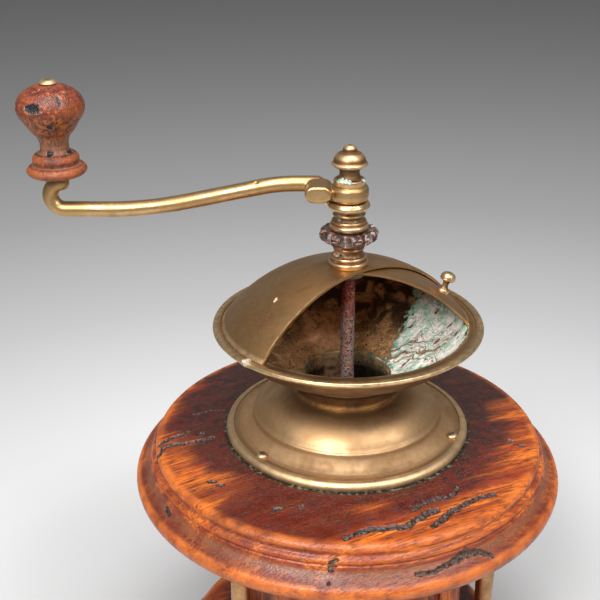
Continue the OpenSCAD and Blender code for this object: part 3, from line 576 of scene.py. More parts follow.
@dataclass(frozen=True)
class PlateWood(Timber):
    """Moulded plate: polish worn to orange outside, a dark dusty ring round what stands on it."""

    level: float = 135
    clear: float = 77
    ring: str = "#4a0f07"
    deep: str = "#180a08"
    haze: str = "#75584a"
    skirt: float = 57.7

    def draw(self, g: Ground) -> dict[str, Value]:
        """Ring, dusty moulding and worm tracks over the timber, with painted shade in the hollow band, under
        the nose and on the tracks' walls.

        Args:
            g: Ground that it is drawn on.

        Returns:
            Inputs of the surface shader.
        """
        put = g.put
        height = put("Math", g.height, self.level, operation="SUBTRACT")
        colour, pores = self.figure(g, put("MapRange", height, 10.0, 15.0, 0.6, 1.0))
        face = put("MapRange", height, 12.5, 15.5, 0.0, 1.0)
        # Ring of dirt that polish never reached, spilt outwards at the front left; it reaches further towards
        # the back, has a second dark patch at the back right and turns darker towards the back.
        wander = g.patches(16, 0.2, 0.8, grain=(0.3, 1, 1), turn=self.turn, detail=8)
        wander = put("MapRange", wander, 0.0, 1.0, -9.0, 12.0)
        lean = put("VectorMath", g.flat, (-0.02, -0.15, 0), operation="DOT_PRODUCT").node.outputs["Value"]
        reach = put("Math", g.radius, lean, operation="ADD")
        reach = put("Math", reach, wander, operation="ADD")
        ring = put("MapRange", reach, self.clear + 6, self.clear - 7, 0.0, 0.92, **SOFT)
        for middle, outer, inner, most in (((-42, -52, 0), 44.0, 24.0, 0.85), ((60, 42, 0), 56.0, 38.0, 0.9)):
            away = put("VectorMath", g.flat, middle, operation="DISTANCE").node.outputs["Value"]
            away = put("Math", away, wander, operation="ADD")
            dark_patch = put("MapRange", away, outer, inner, 0.0, most, **SOFT)
            ring = put("Math", ring, dark_patch, operation="MAXIMUM")
        ring = put("Math", ring, face, operation="MULTIPLY")
        # Darker towards the back.
        behind = put("VectorMath", g.flat, (0.003, 0.006, 0), operation="DOT_PRODUCT").node.outputs["Value"]
        darker = put("Math", g.patches(4, 0.35, 0.65, detail=6), behind, operation="ADD", use_clamp=True)
        stain = put("Mix", darker, self.ring, self.deep, data_type="RGBA")
        haze = put("MapRange", g.radius, self.clear + 3, self.clear - 14, 0.0, 1.0)
        for share in (g.patches(0.7, 0.54, 0.7, detail=3), g.patches(8, 0.25, 0.6), face):
            haze = put("Math", haze, share, operation="MULTIPLY")
        # Painted shade in the hollow of the moulding, between its two beads.
        band = put("MapRange", height, 1.7, 2.6, 0.0, 1.0)
        band = put("Math", band, put("MapRange", height, 6.9, 6.2, 0.0, 0.5), operation="MULTIPLY")
        mottle = put("Mix", g.patches(1.0, 0.4, 0.6), "#5c2415", "#2a1316", data_type="RGBA")
        colour = g.coats(
            colour,
            (ring, 1, stain),
            (haze, 0.4, self.haze),
            (band, 1, mottle),
            # Painted shade on the underside below the nose.
            (put("MapRange", height, -1.5, -4.0, 0.0, 0.6), 1, self.dark),
        )
        # Worm tracks with frass in them and painted shade on their walls, and soot where the bell's foot
        # stands.
        eaten = put("MapRange", g.frayed(g.track, 0.3, 0.9), 0.3, 0.45, 0.0, 1.0, **SOFT)
        frass = put("Mix", g.patches(1.1, 0.36, 0.64, detail=5), "#170e0b", "#4f392e", data_type="RGBA")
        foot = put("MapRange", g.radius, self.skirt + 0.7, self.skirt - 0.7, 0.0, 1.0)
        foot = put("Math", foot, face, operation="MULTIPLY")
        soot_and_shade = put("Mix", g.patches(2, 0.5, 0.66), "#19110d", "#5d6650", data_type="RGBA")
        colour = g.coats(
            self.wear(g, colour),
            # Painted shade on the walls of the worm tracks.
            (put("MapRange", g.track, 0.02, 0.25, 0.0, 0.8), 1, "#2c110b"),
            (eaten, 1, frass),
            (foot, 1, soot_and_shade),
        )
        rough = put("MapRange", g.patches(6), 0.0, 1.0, self.gloss, self.gloss + 0.16)
        rough = put("Math", haze, 0.4, rough, operation="MULTIPLY_ADD")
        rough = put("Math", eaten, 0.1, rough, operation="MULTIPLY_ADD", use_clamp=True)
        return {
            "Base Color": colour,
            "Metallic": 0.0,
            "Roughness": rough,
            "Normal": g.bumps((g.patches(0.9, 0.2, 0.8), 0.07), (pores, -0.14), (haze, 0.1), (frass, -0.25)),
        }


@dataclass(frozen=True)
class KnobWood(Timber):
    """Crank knob: red polish left on its crown, orange bare wood scratched by hands below it."""

    level: float = 275
    widest: float = 27.5
    rubbed: str = "#a65a26"
    dust: str = "#8a6249"

    def draw(self, g: Ground) -> dict[str, Value]:
        """Crown, worn waist and foot, with the chips that knocks have left.

        Args:
            g: Ground that it is drawn on.

        Returns:
            Inputs of the surface shader.
        """
        put = g.put
        height = put("Math", g.height, self.level, operation="SUBTRACT")
        edge = g.frayed(height, 2.6, 2.5, 5)
        crown = put("MapRange", edge, self.widest - 1, self.widest + 1.4, 0.0, 1.0, **SOFT)
        foot = put("MapRange", edge, 10.5, 8.5, 0.0, 1.0, **SOFT)
        scratch = g.patches(1.1, 0.46, 0.6, grain=(1, 1, 0.2), detail=6, twist=0.5)
        neck = put("MapRange", height, 18.5, 13.0, 0.0, 0.85)
        neck = put("Math", neck, g.patches(4, 0.35, 0.6), operation="MULTIPLY")
        waist = g.coats(
            "#a85a1a",
            (g.patches(3, 0.3, 0.7, detail=6), 1, "#6e3414"),
            (scratch, 0.85, "#1e0f0c"),
            (neck, 1, "#2c1a1a"),
        )
        polish = g.coats(
            "#823720",
            (g.patches(5, 0.3, 0.7, detail=6), 1, "#521c13"),
            (g.patches(1.2, 0.48, 0.6, grain=(0.4, 0.4, 1)), 0.7, "#35150f"),
            (g.patches(2, 0.58, 0.7), 0.6, "#c06a34"),
        )
        either = put("Math", crown, foot, operation="MAXIMUM")
        colour = g.coats(
            self.wear(g, g.coats(waist, (either, 1, polish))),
            (put("MapRange", g.track, 0.05, 0.3, 0.0, 0.1), 1, "#b5a08c"),
            (put("MapRange", g.track, 0.35, 0.6, 0.0, 1.0, **SOFT), 1, "#17161b"),
        )
        return {
            "Base Color": colour,
            "Metallic": 0.0,
            "Roughness": put("MapRange", crown, 0.0, 1.0, 0.5, 0.34),
            "Normal": g.bumps((scratch, -0.1), (g.patches(0.9, 0.2, 0.8), 0.12)),
        }


# ---------------------------------------------------------------- modelling


def bow(start: Point, end: Point, rise: float, steps: int = 8) -> list[Point]:
    """Points from start towards end, on an arc whose middle stands rise to the left of the chord.

    Args:
        start: First point.
        end: Point that the next stretch starts with, left out here.
        rise: Height of the arc over its chord, negative to the right.
        steps: Number of pieces in the arc.

    Returns:
        The start and the points between.
    """
    if not rise:
        return [start]
    dx, dy = end[0] - start[0], end[1] - start[1]
    chord = math.hypot(dx, dy)
    ux, uy = dx / chord, dy / chord
    radius = (chord * chord / 4 + rise * rise) / (2 * abs(rise))
    half = 2 * math.atan(2 * abs(rise) / chord)
    points = []
    for i in range(steps):
        a = -half + 2 * half * i / steps
        s = chord / 2 + radius * math.sin(a)
        t = math.copysign(radius * math.cos(a) - radius + abs(rise), rise)
        points.append((start[0] + ux * s - uy * t, start[1] + uy * s + ux * t))
    return points


def outline(rows: Sequence[Row], longest: float) -> list[Point]:
    """Closed outline through rows of radius, height and rise.

    Args:
        rows: Corners, each with the rise of the arc that starts there.
        longest: Greatest length of a stretch, in millimetres.

    Returns:
        The outline's points.
    """
    bends: list[Point] = []
    for a, b in zip(rows, [*rows[1:], rows[0]]):
        bends += bow((a[0], a[1]), (b[0], b[1]), a[2])
    points: list[Point] = []
    for a, b in zip(bends, [*bends[1:], bends[0]]):
        on_axis = a[0] == 0 and b[0] == 0
        count = 1 if on_axis else max(1, math.ceil(math.dist(a, b) / longest))
        points += [(a[0] + (b[0] - a[0]) * i / count, a[1] + (b[1] - a[1]) * i / count) for i in range(count)]
    return points


def sharpness(points: Sequence[Point], reach: float) -> list[float]:
    """How far each point of a closed outline bulges, from -1 in a groove to 1 on an edge.

    Args:
        points: Outline, with the solid on its left.
        reach: Distance in millimetres over which a corner still counts.

    Returns:
        One number for each point.
    """
    nearest = 0.3  # corners closer to the axis than this are only the ends of a solid piece
    count = len(points)
    bends = []
    for i, here in enumerate(points):
        before, after = points[i - 1], points[(i + 1) % count]
        a = math.atan2(here[1] - before[1], here[0] - before[0])
        b = math.atan2(after[1] - here[1], after[0] - here[0])
        turn = math.remainder(b - a, math.tau) if here[0] > nearest else 0.0
        if turn:
            bends.append((turn, here))
    return [
        math.tanh(sum(turn * math.exp(-((math.dist(here, there) / reach) ** 2)) for turn, there in bends))
        for here in points
    ]


def steps_round(low: float, high: float, count: int) -> list[float]:
    """Angles from low to high in degrees, as radians."""
    return [math.radians(low + (high - low) * i / count) for i in range(count + 1)]


def only(*pieces: bpy.types.Object) -> None:
    """Selects objects alone.

    Args:
        pieces: The objects, the one to be active first.
    """
    bpy.ops.object.select_all(action="DESELECT")
    for piece in pieces:
        piece.select_set(True)
    bpy.context.view_layer.objects.active = pieces[0]


def primitive(operator: Callable[..., set[str]], name: str, **settings: Value) -> bpy.types.Object:
    """Adds a primitive while nothing else is selected.

    Args:
        operator: Operator that adds it.
        name: Name of the object.
        settings: Size and place for the operator.

    Returns:
        The object.
    """
    bpy.ops.object.select_all(action="DESELECT")
    operator(**settings)
    made = bpy.context.object
    made.name = made.data.name = name
    return made


def editing(select: bool = True) -> None:
    """Enters edit mode with everything or nothing selected."""
    bpy.ops.object.mode_set(mode="EDIT")
    bpy.ops.mesh.select_all(action="SELECT" if select else "DESELECT")


def settle(piece: bpy.types.Object) -> bpy.types.Object:
    """Leaves edit mode and moves the piece's place into its mesh.

    Args:
        piece: Piece that has been shaped.

    Returns:
        The same piece.
    """
    if piece.mode == "EDIT":
        bpy.ops.object.mode_set(mode="OBJECT")
    only(piece)
    bpy.ops.object.transform_apply(location=True, rotation=True, scale=True)
    return piece


def modify(piece: bpy.types.Object, kind: str, **settings: Value) -> None:
    """Adds a modifier and applies it.

    Args:
        piece: Piece that it changes.
        kind: Type of the modifier.
        settings: Its settings.
    """
    only(piece)
    bpy.ops.object.modifier_add(type=kind)
    modifier = piece.modifiers[-1]
    for name, value in settings.items():
        setattr(modifier, name, value)
    bpy.ops.object.modifier_apply(modifier=modifier.name)


def ease(piece: bpy.types.Object, width: float, angle: float = 35) -> None:
    """Rounds the sharp edges of a piece by a width in millimetres."""
    limit = {"limit_method": "ANGLE", "angle_limit": math.radians(angle)}
    modify(piece, "BEVEL", width=width * MM, segments=2, **limit)


def smooth(piece: bpy.types.Object, angle: float = 40) -> None:
    """Shades a piece smooth up to an angle in degrees."""
    only(piece)
    bpy.ops.object.shade_smooth_by_angle(angle=math.radians(angle))


def cut(piece: bpy.types.Object, tool: bpy.types.Object, operation: str = "DIFFERENCE") -> None:
    """Cuts a piece with another object, which is used up."""
    modify(piece, "BOOLEAN", object=tool, operation=operation, solver="EXACT")
    bpy.data.objects.remove(tool)


def traced(name: str, points: Sequence[Vector]) -> bpy.types.Object:
    """Draws a closed line point by point and leaves it selected, in edit mode.

    Args:
        name: Name of the piece.
        points: Corners in their order, in metres.

    Returns:
        The line.
    """
    piece = primitive(bpy.ops.mesh.primitive_plane_add, name, size=MM, location=points[0])
    editing()
    bpy.ops.mesh.merge(type="CENTER")
    for here, there in zip(points, [*points[1:], points[0]]):
        bpy.ops.mesh.extrude_region_move(TRANSFORM_OT_translate={"value": there - here})
    bpy.ops.mesh.select_all(action="SELECT")
    return piece


def slab(name: str, points: Sequence[Vector], depth: Vector) -> bpy.types.Object:
    """Flat plate: a traced line, filled and drawn out.

    Args:
        name: Name of the piece.
        points: Corners in their order, in metres.
        depth: Way and length of the extrusion.

    Returns:
        The plate.
    """
    piece = traced(name, points)
    bpy.ops.mesh.remove_doubles(threshold=WELD)
    bpy.ops.mesh.edge_face_add()
    bpy.ops.mesh.extrude_region_move(TRANSFORM_OT_translate={"value": depth})
    bpy.ops.mesh.select_all(action="SELECT")
    bpy.ops.mesh.normals_make_consistent(inside=False)
    return settle(piece)


def marks(piece: bpy.types.Object, name: str) -> Sequence[bpy.types.FloatAttributeValue]:
    """Numbers that a mark gives the vertices of a piece, all 0 in a new mark."""
    found = piece.data.attributes
    return (found.get(name) or found.new(name, "FLOAT", "POINT")).data


def skin(piece: bpy.types.Object) -> list[tuple[bpy.types.MeshVertex, Vector]]:
    """Vertices of a piece, each with its normal from before any of them moves."""
    return [(vertex, vertex.normal.copy()) for vertex in piece.data.vertices]


def roughen(piece: bpy.types.Object, depth: float, grain: float) -> None:
    """Moves the skin in and out, as rust and casting do.

    Args:
        piece: Piece that is roughened.
        depth: Depth in millimetres.
        grain: Lumps to a metre.
    """
    for vertex, normal in skin(piece):
        lump = noise.noise(vertex.co * grain) + 0.5 * noise.noise(vertex.co * grain * 2.3)
        vertex.co += normal * lump * depth * MM


def note_edges(piece: bpy.types.Object) -> None:
    """Marks the vertices that stand proud of their neighbours, where hands rub.

    Args:
        piece: Piece that gets the mark "relief".
    """
    mesh = piece.data
    near: list[list[int]] = [[] for _ in mesh.vertices]
    for edge in mesh.edges:
        a, b = edge.vertices
        near[a].append(b)
        near[b].append(a)
    notes = marks(piece, "relief")
    raw = []
    for vertex, others in zip(mesh.vertices, near):
        mean = sum((mesh.vertices[i].co for i in others), Vector()) / max(1, len(others))
        raw.append((vertex.co - mean).dot(vertex.normal) / MM * 6)
    for index, others in enumerate(near):
        value = (raw[index] + sum(raw[i] for i in others)) / (1 + len(others))
        notes[index].value = math.tanh(value * 2)


@dataclass
class Turning:
    """A piece turned on the lathe from an outline of rows of radius, height and rise."""

    name: str
    rows: Sequence[Row]
    base: Vector
    axis: Vector = field(default_factory=lambda: UP.copy())
    steps: int = 96
    longest: float = 1.6
    edge: float = 0.15
    reach: float = 1.4

    def place(self, point: Point) -> Vector:
        """Finds an outline point in the frame.

        Args:
            point: Distance from the axis and height along it, in millimetres.

        Returns:
            Its place in metres.
        """
        side = Vector((1, 0, 0)) if abs(self.axis.z) > 0.9 else self.axis.orthogonal().normalized()
        side = (side - self.axis * side.dot(self.axis)).normalized()
        return self.base + side * point[0] * MM + self.axis * point[1] * MM

    def build(self) -> bpy.types.Object:
        """Draws the outline point by point and spins it round the axis.

        Returns:
            The turned piece, with the mark "relief" on its mesh.
        """
        points = outline(self.rows, self.longest)
        piece = traced(self.name, [self.place(point) for point in points])
        bpy.ops.mesh.spin(steps=self.steps, angle=math.tau, center=self.base, axis=self.axis)
        bpy.ops.mesh.select_all(action="SELECT")
        bpy.ops.mesh.remove_doubles(threshold=WELD)
        bpy.ops.mesh.normals_make_consistent(inside=False)
        settle(piece)
        if self.edge:
            ease(piece, self.edge)
        self.note_relief(piece, points)
        smooth(piece)
        return piece

    def note_relief(self, piece: bpy.types.Object, points: Sequence[Point]) -> None:
        """Marks how far each vertex lies on an edge or in a groove.

        Args:
            piece: Piece that gets the mark "relief".
            points: Its outline.
        """
        values = sharpness(points, self.reach)
        tree = kdtree.KDTree(len(points))
        for i, point in enumerate(points):
            tree.insert((*point, 0), i)
        tree.balance()
        for vertex, note in zip(piece.data.vertices, marks(piece, "relief")):
            offset = vertex.co - self.base
            height = offset.dot(self.axis)
            radius = (offset - self.axis * height).length
            note.value = values[tree.find((radius / MM, height / MM, 0))[1]]


def foot(node: str, lowest: float = 0, x: float = 0, y: float = 0) -> Vector:
    """Point on an axis at the level that a node's outline calls 0, in metres.

    Args:
        node: CAD node that gives the level.
        lowest: Height of the outline's lowest row, in millimetres.
        x: Place of the axis, in metres.
        y: Place of the axis, in metres.

    Returns:
        The point.
    """
    return Vector((x, y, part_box(node)[0].z - lowest * MM))


@dataclass
class Mill:
    """What all sub-assemblies share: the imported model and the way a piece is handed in."""

    frame: dict

    def hand_in(
        self,
        piece: bpy.types.Object,
        finish: Finish | None,
        body: Body,
        slot: Slot,
        *nodes: str,
    ) -> bpy.types.Object:
        """Dresses a piece, lets it ride on its body and stand for its nodes.

        Args:
            piece: Piece that is done.
            finish: Its finish, or None where it has its materials already.
            body: Body that it rides on.
            slot: Slot of the record; not used.
            nodes: CAD nodes that it stands for.

        Returns:
            The same piece.
        """
        if finish:
            piece.data.materials.clear()
            piece.data.materials.append(finish.material())
        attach(piece, body.value)
        if nodes:
            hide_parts(*nodes)
        log.info("%s: %d faces on %s", piece.name, len(piece.data.polygons), body.value)
        return piece

    @staticmethod
    def spot(piece: bpy.types.Object, *spots: tuple[float, float, float, float, float]) -> None:
        """Marks spots of crust and raises them.

        Args:
            piece: Piece that they lie on.
            spots: Place in millimetres, radius and rise of each.
        """
        notes, vertices = marks(piece, "crust"), skin(piece)
        for x, y, z, radius, rise in spots:
            middle = Vector((x, y, z)) * MM
            for (vertex, normal), note in zip(vertices, notes):
                inside = 1.3 - (vertex.co - middle).length / MM / radius
                if inside > 0:
                    note.value = max(note.value, min(1.0, inside))
                    vertex.co += normal * rise * min(1.0, inside) * MM

    def dress(self, finish: Finish, *nodes: str) -> None:
        """Gives nodes that keep their solids a finish.

        Args:
            finish: The finish.
            nodes: Names of the nodes.
        """
        for name in nodes:
            node = self.frame["nodes"][name]
            for place in range(len(node.data.materials)):
                node.data.materials[place] = finish.material()
            log.info("%s: keeps its solid, in %s", name, finish.name)


CRANK_AZIMUTH = 162.0

# Brass sheet spun over a former: soft, even sheen, brown where hands never rub it.
BELL_BRASS = AgedBrass(
    "bell_brass_satin", body="#d2ab80", patina="#a68258", dirt="#4e3820", gloss=0.47, pitting=0.12, soil=0.45
)
# Spun bowl: its outside is darkened below the rim with painted shade.
BOWL_BRASS = AgedBrass(
    "bowl_brass_spun",
    body="#b89163",
    patina="#6f5131",
    stain="#8a8276",
    bloom="#cbb9a2",
    gloss=0.36,
    soil=0.6,
    shade_below=207.5,
)
COVER_BRASS = AgedBrass(
    "cover_brass_dulled", body="#bf9769", patina="#876440", stain="#b98f74", bloom="#e3c4ac", gloss=0.4
)
# Brass bar turned on a lathe: crisp beads with bright crowns and dirt in every quirk.
TURNED_BRASS = AgedBrass(
    "turned_brass_aged", body="#bf966a", patina="#835e3e", green=0.5, gloss=0.33, blotch=9
)
FINIAL_BRASS = AgedBrass("finial_brass_verdigris", body="#ab8058", patina="#7a5638", gloss=0.4, blotch=9)
BUSH_BRASS = AgedBrass(
    "bush_brass_rust_stained",
    body="#c8956a",
    patina="#8a5a38",
    stain="#b5602c",
    green=0.8,
    gloss=0.3,
    blotch=5,
)
SCREW_BRASS = AgedBrass("screw_brass_worn", body="#cbb09a", patina="#7d6350", gloss=0.42, blotch=2)
BUTTON_BRASS = AgedBrass("button_brass_olive", body="#947e52", patina="#625031", gloss=0.55, blotch=4)
# Cast brass filed by hand: yellower, kept bright by the palm.
CAST_BRASS = AgedBrass(
    "cast_brass_handled",
    body="#cba878",
    patina="#967347",
    rubbed="#ecd6b0",
    gloss=0.36,
    blotch=20,
    pitting=0.4,
)
# The same sheet inside the bowl, eaten by damp: dark, with a pale green crust on one side.
BOWL_INSIDE = BowlInside("bowl_inside_crusted")
# Cast iron left raw: dark purple-brown skin, orange rust, corners rubbed to grey.
STAR_IRON = RustyMetal(
    "star_wheel_iron_rusted",
    body="#857470",
    stain="#362a29",
    rust="#a85c34",
    rubbed="#d8c8c0",
    rusting=0.6,
    pits=0.7,
)
CAST_IRON = RustyMetal("cast_iron_oiled", rusting=0.35)
STEEL = RustyMetal("steel_screws_dull", body="#8a7a62", stain="#4a3d2e", rusting=0.4, gloss=0.35)
SPINDLE_IRON = ForgedSpindle("spindle_iron_rusted")
# Mahogany boards set upright, and the plain beech that such drawers are lined with.
UPRIGHT = Timber("mahogany_upright_grain", along=(1, 1, 0.05), age=0.4)
FRONT_WOOD = Timber("mahogany_drawer_front", along=(0.05, 1, 1), age=0.4)
DRAWER_WOOD = Timber(
    "drawer_beech_bare", light="#c08a55", mid="#a87243", dark="#6b4526", along=(1, 0.05, 1), gloss=0.55
)


# ---------------------------------------------------------------- the mill


@dataclass(frozen=True)
class PlateSize:
    """Outline of one turned plate, in millimetres from its axis and from its widest line.

    Attributes:
        node: CAD node that it stands for.
        radius: Radius of the widest line.
        drop: Depth of its lower face below that line.
        bore: Radius of the hole.
        level: Radius up to which its top is level.
        fall: How far the top falls from there to the moulding.
        clear: Radius of the ring of dirt on it.
        skirt: Radius of what stands on it.
    """

    node: str
    radius: float
    drop: float
    bore: float
    level: float
    fall: float
    clear: float
    skirt: float


@dataclass
class Plates(Mill):
    """The two turned plates, the upper one with its worm tracks.

    Each track has its half width, its depth and the points of its line, in millimetres.
    """

    sizes: tuple[PlateSize, ...] = (
        PlateSize("top_plate", radius=99.4, drop=6, bore=22, level=58, fall=2.4, clear=79, skirt=57.7),
        PlateSize("base_plate", radius=91, drop=10, bore=0, level=77.5, fall=0.8, clear=66, skirt=0),
    )
    band: float = 7
    rise: float = 18.7
    shoulder: float = 8
    margin: float = 2.2
    lip: float = 0.18
    tracks: tuple[tuple[float, float, tuple[Point, ...]], ...] = (
        (1.3, 0.9, ((-87.5, 9), (-81, 13), (-76.5, 13.4), (-73, 14.3))),
        (1.5, 0.8, ((-68, 11), (-66.5, 10.5))),
        (1.4, 1.0, ((-88.8, 1), (-85.6, 5.7), (-80.7, 7), (-75.6, 5.5), (-71, 5.2), (-66, 4.9), (-63, 5.3))),
        (0.9, 0.5, ((-68, 30.3), (-64.2, 29.4), (-59, 30.4), (-53, 27.5))),
        (1.1, 0.9, ((-25.7, -80.2), (-20, -78.5))),
        (1.7, 1.1, ((-20, -78.5), (-14.5, -77.8), (-9.7, -79), (-4.6, -79.2), (0.4, -80), (5.5, -77.2))),
        (1.8, 1.2, ((5.5, -77.2), (10.6, -74.6), (15.7, -73.8))),
        (1.1, 0.8, ((6.7, -71.2), (11.5, -68.8), (17.2, -67.1), (23.3, -66.5), (27, -65.3), (30, -61.5))),
        (1.6, 1.2, ((11, -82.2), (17.2, -78.6), (21.9, -75.3), (27.2, -73.3))),
        (1.4, 0.9, ((27.2, -73.3), (36, -69.9), (43.6, -69.2))),
        (0.8, 0.8, ((-0.9, -94.6), (6.7, -94.7), (14.3, -92.8))),
        (1.0, 0.9, ((14.3, -92.8), (22.3, -90.1), (29.8, -89.2), (33.8, -90.4))),
        (0.8, 0.9, ((-33.7, -85.7), (-31, -85.5))),
        (0.7, 1.0, ((-35.6, -89.2), (-35.2, -89.2))),
        (1.4, 0.8, ((-48.5, -55.2), (-46, -55.2))),
        (1.2, 0.8, ((-38, -57), (-36.8, -57))),
        (1.2, 0.8, ((-70.5, -28), (-68.6, -28.6))),
        (1.2, 0.8, ((-67.6, -31.4), (-66, -32))),
        (1.0, 0.8, ((-89.8, -26), (-89.2, -30))),
        (1.3, 0.9, ((68.3, -32.6), (69.6, -33.4))),
        (1.2, 0.8, ((71.6, -37.2), (72.6, -38))),
    )

    def rows(self, size: PlateSize) -> list[Row]:
        """Outline of a moulded plate whose widest line is at height 0.

        Args:
            size: Sizes of the plate.

        Returns:
            Its rows.
        """
        r, inner = size.radius, size.radius - self.band
        return [
            (size.bore, -size.drop, 0),
            (r - 4, -size.drop, -size.drop * 0.18),
            (r, -0.6, -0.35),
            (r - 1.4, 2.3, 0.45),
            (inner, 6.9, 0),
            (inner - 0.2, 8.5, 0),
            (inner - 0.9, 9, -0.6),
            (inner - 1.8, 11.6, 0.4),
            (inner - 2.8, 13.2, -0.8),
            (inner - 5, self.rise - size.fall, 0),
            (size.level, self.rise, 0),
            (size.bore, self.rise, 0),
        ]

    @staticmethod
    def gap(x: float, y: float, line: Sequence[Point]) -> float:
        """Measures how far a point is from a line.

        Args:
            x: Place of the point, in millimetres.
            y: Place of the point, in millimetres.
            line: Points of the line.

        Returns:
            Distance in millimetres.
        """
        best = math.inf
        for (ax, ay), (bx, by) in zip(line, line[1:]):
            dx, dy = bx - ax, by - ay
            t = min(1.0, max(0.0, ((x - ax) * dx + (y - ay) * dy) / (dx * dx + dy * dy)))
            best = min(best, math.hypot(x - ax - dx * t, y - ay - dy * t))
        return best

    def near_track(self, face: bpy.types.MeshPolygon) -> bool:
        """Tells whether a face looks up from the plate and lies close to a worm track.

        Args:
            face: Face of the plate.

        Returns:
            Whether it does.
        """
        x, y = face.center.x / MM, face.center.y / MM
        near = (self.gap(x, y, line) < half + self.margin for half, _, line in self.tracks)
        return face.normal.z > 0.2 and any(near)

    def eat(self, piece: bpy.types.Object) -> None:
        """Sinks the worm tracks into the plate's upper faces.

        Args:
            piece: Plate that gets them, and the mark "track".
        """
        for cuts in (2, 1):
            only(piece)
            editing(select=False)
            bpy.ops.object.mode_set(mode="OBJECT")
            for face in piece.data.polygons:
                face.select = self.near_track(face)
            bpy.ops.object.mode_set(mode="EDIT")
            bpy.ops.mesh.subdivide(number_cuts=cuts)
            bpy.ops.object.mode_set(mode="OBJECT")
        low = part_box("top_plate")[0].z + self.shoulder * MM
        notes = marks(piece, "track")
        for (vertex, normal), note in zip(skin(piece), notes):
            if vertex.co.z < low or normal.z < 0.1:
                continue
            x, y = vertex.co.x / MM, vertex.co.y / MM
            # A slow lump widens and narrows the track, a fine one frays its border and its floor.
            lump = noise.noise(vertex.co * 420)
            ragged = noise.noise(vertex.co * 900 + Vector((5, 5, 5)))
            for half, depth, line in self.tracks:
                inside = 1 - self.gap(x, y, line) / (half * (1 + 0.45 * lump) + 0.35 * ragged)
                if inside > -0.6:
                    dip = min(1.0, max(0.0, inside * 2.2))
                    proud = max(0.0, 1 - abs(inside + 0.15) * 4)
                    note.value = max(note.value, dip)
                    height = self.lip * proud - dip * depth * (0.75 + 0.5 * ragged)
                    vertex.co.z += height * MM

    def build(self) -> None:
        """Turns both plates."""
        for size in self.sizes:
            node, place = size.node, foot(size.node, -size.drop)
            turning = Turning(
                node + "_turned", self.rows(size), place, steps=256, longest=2, edge=0.3, reach=2.5
            )
            piece = turning.build()
            if node == "top_plate":
                self.eat(piece)
                smooth(piece)
            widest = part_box(node)[0].z / MM + size.drop
            wood = PlateWood(node + "_mahogany", turn=-10, level=widest, clear=size.clear, skirt=size.skirt)
            self.hand_in(piece, wood, Body.CASE, Slot.PLATE, node)


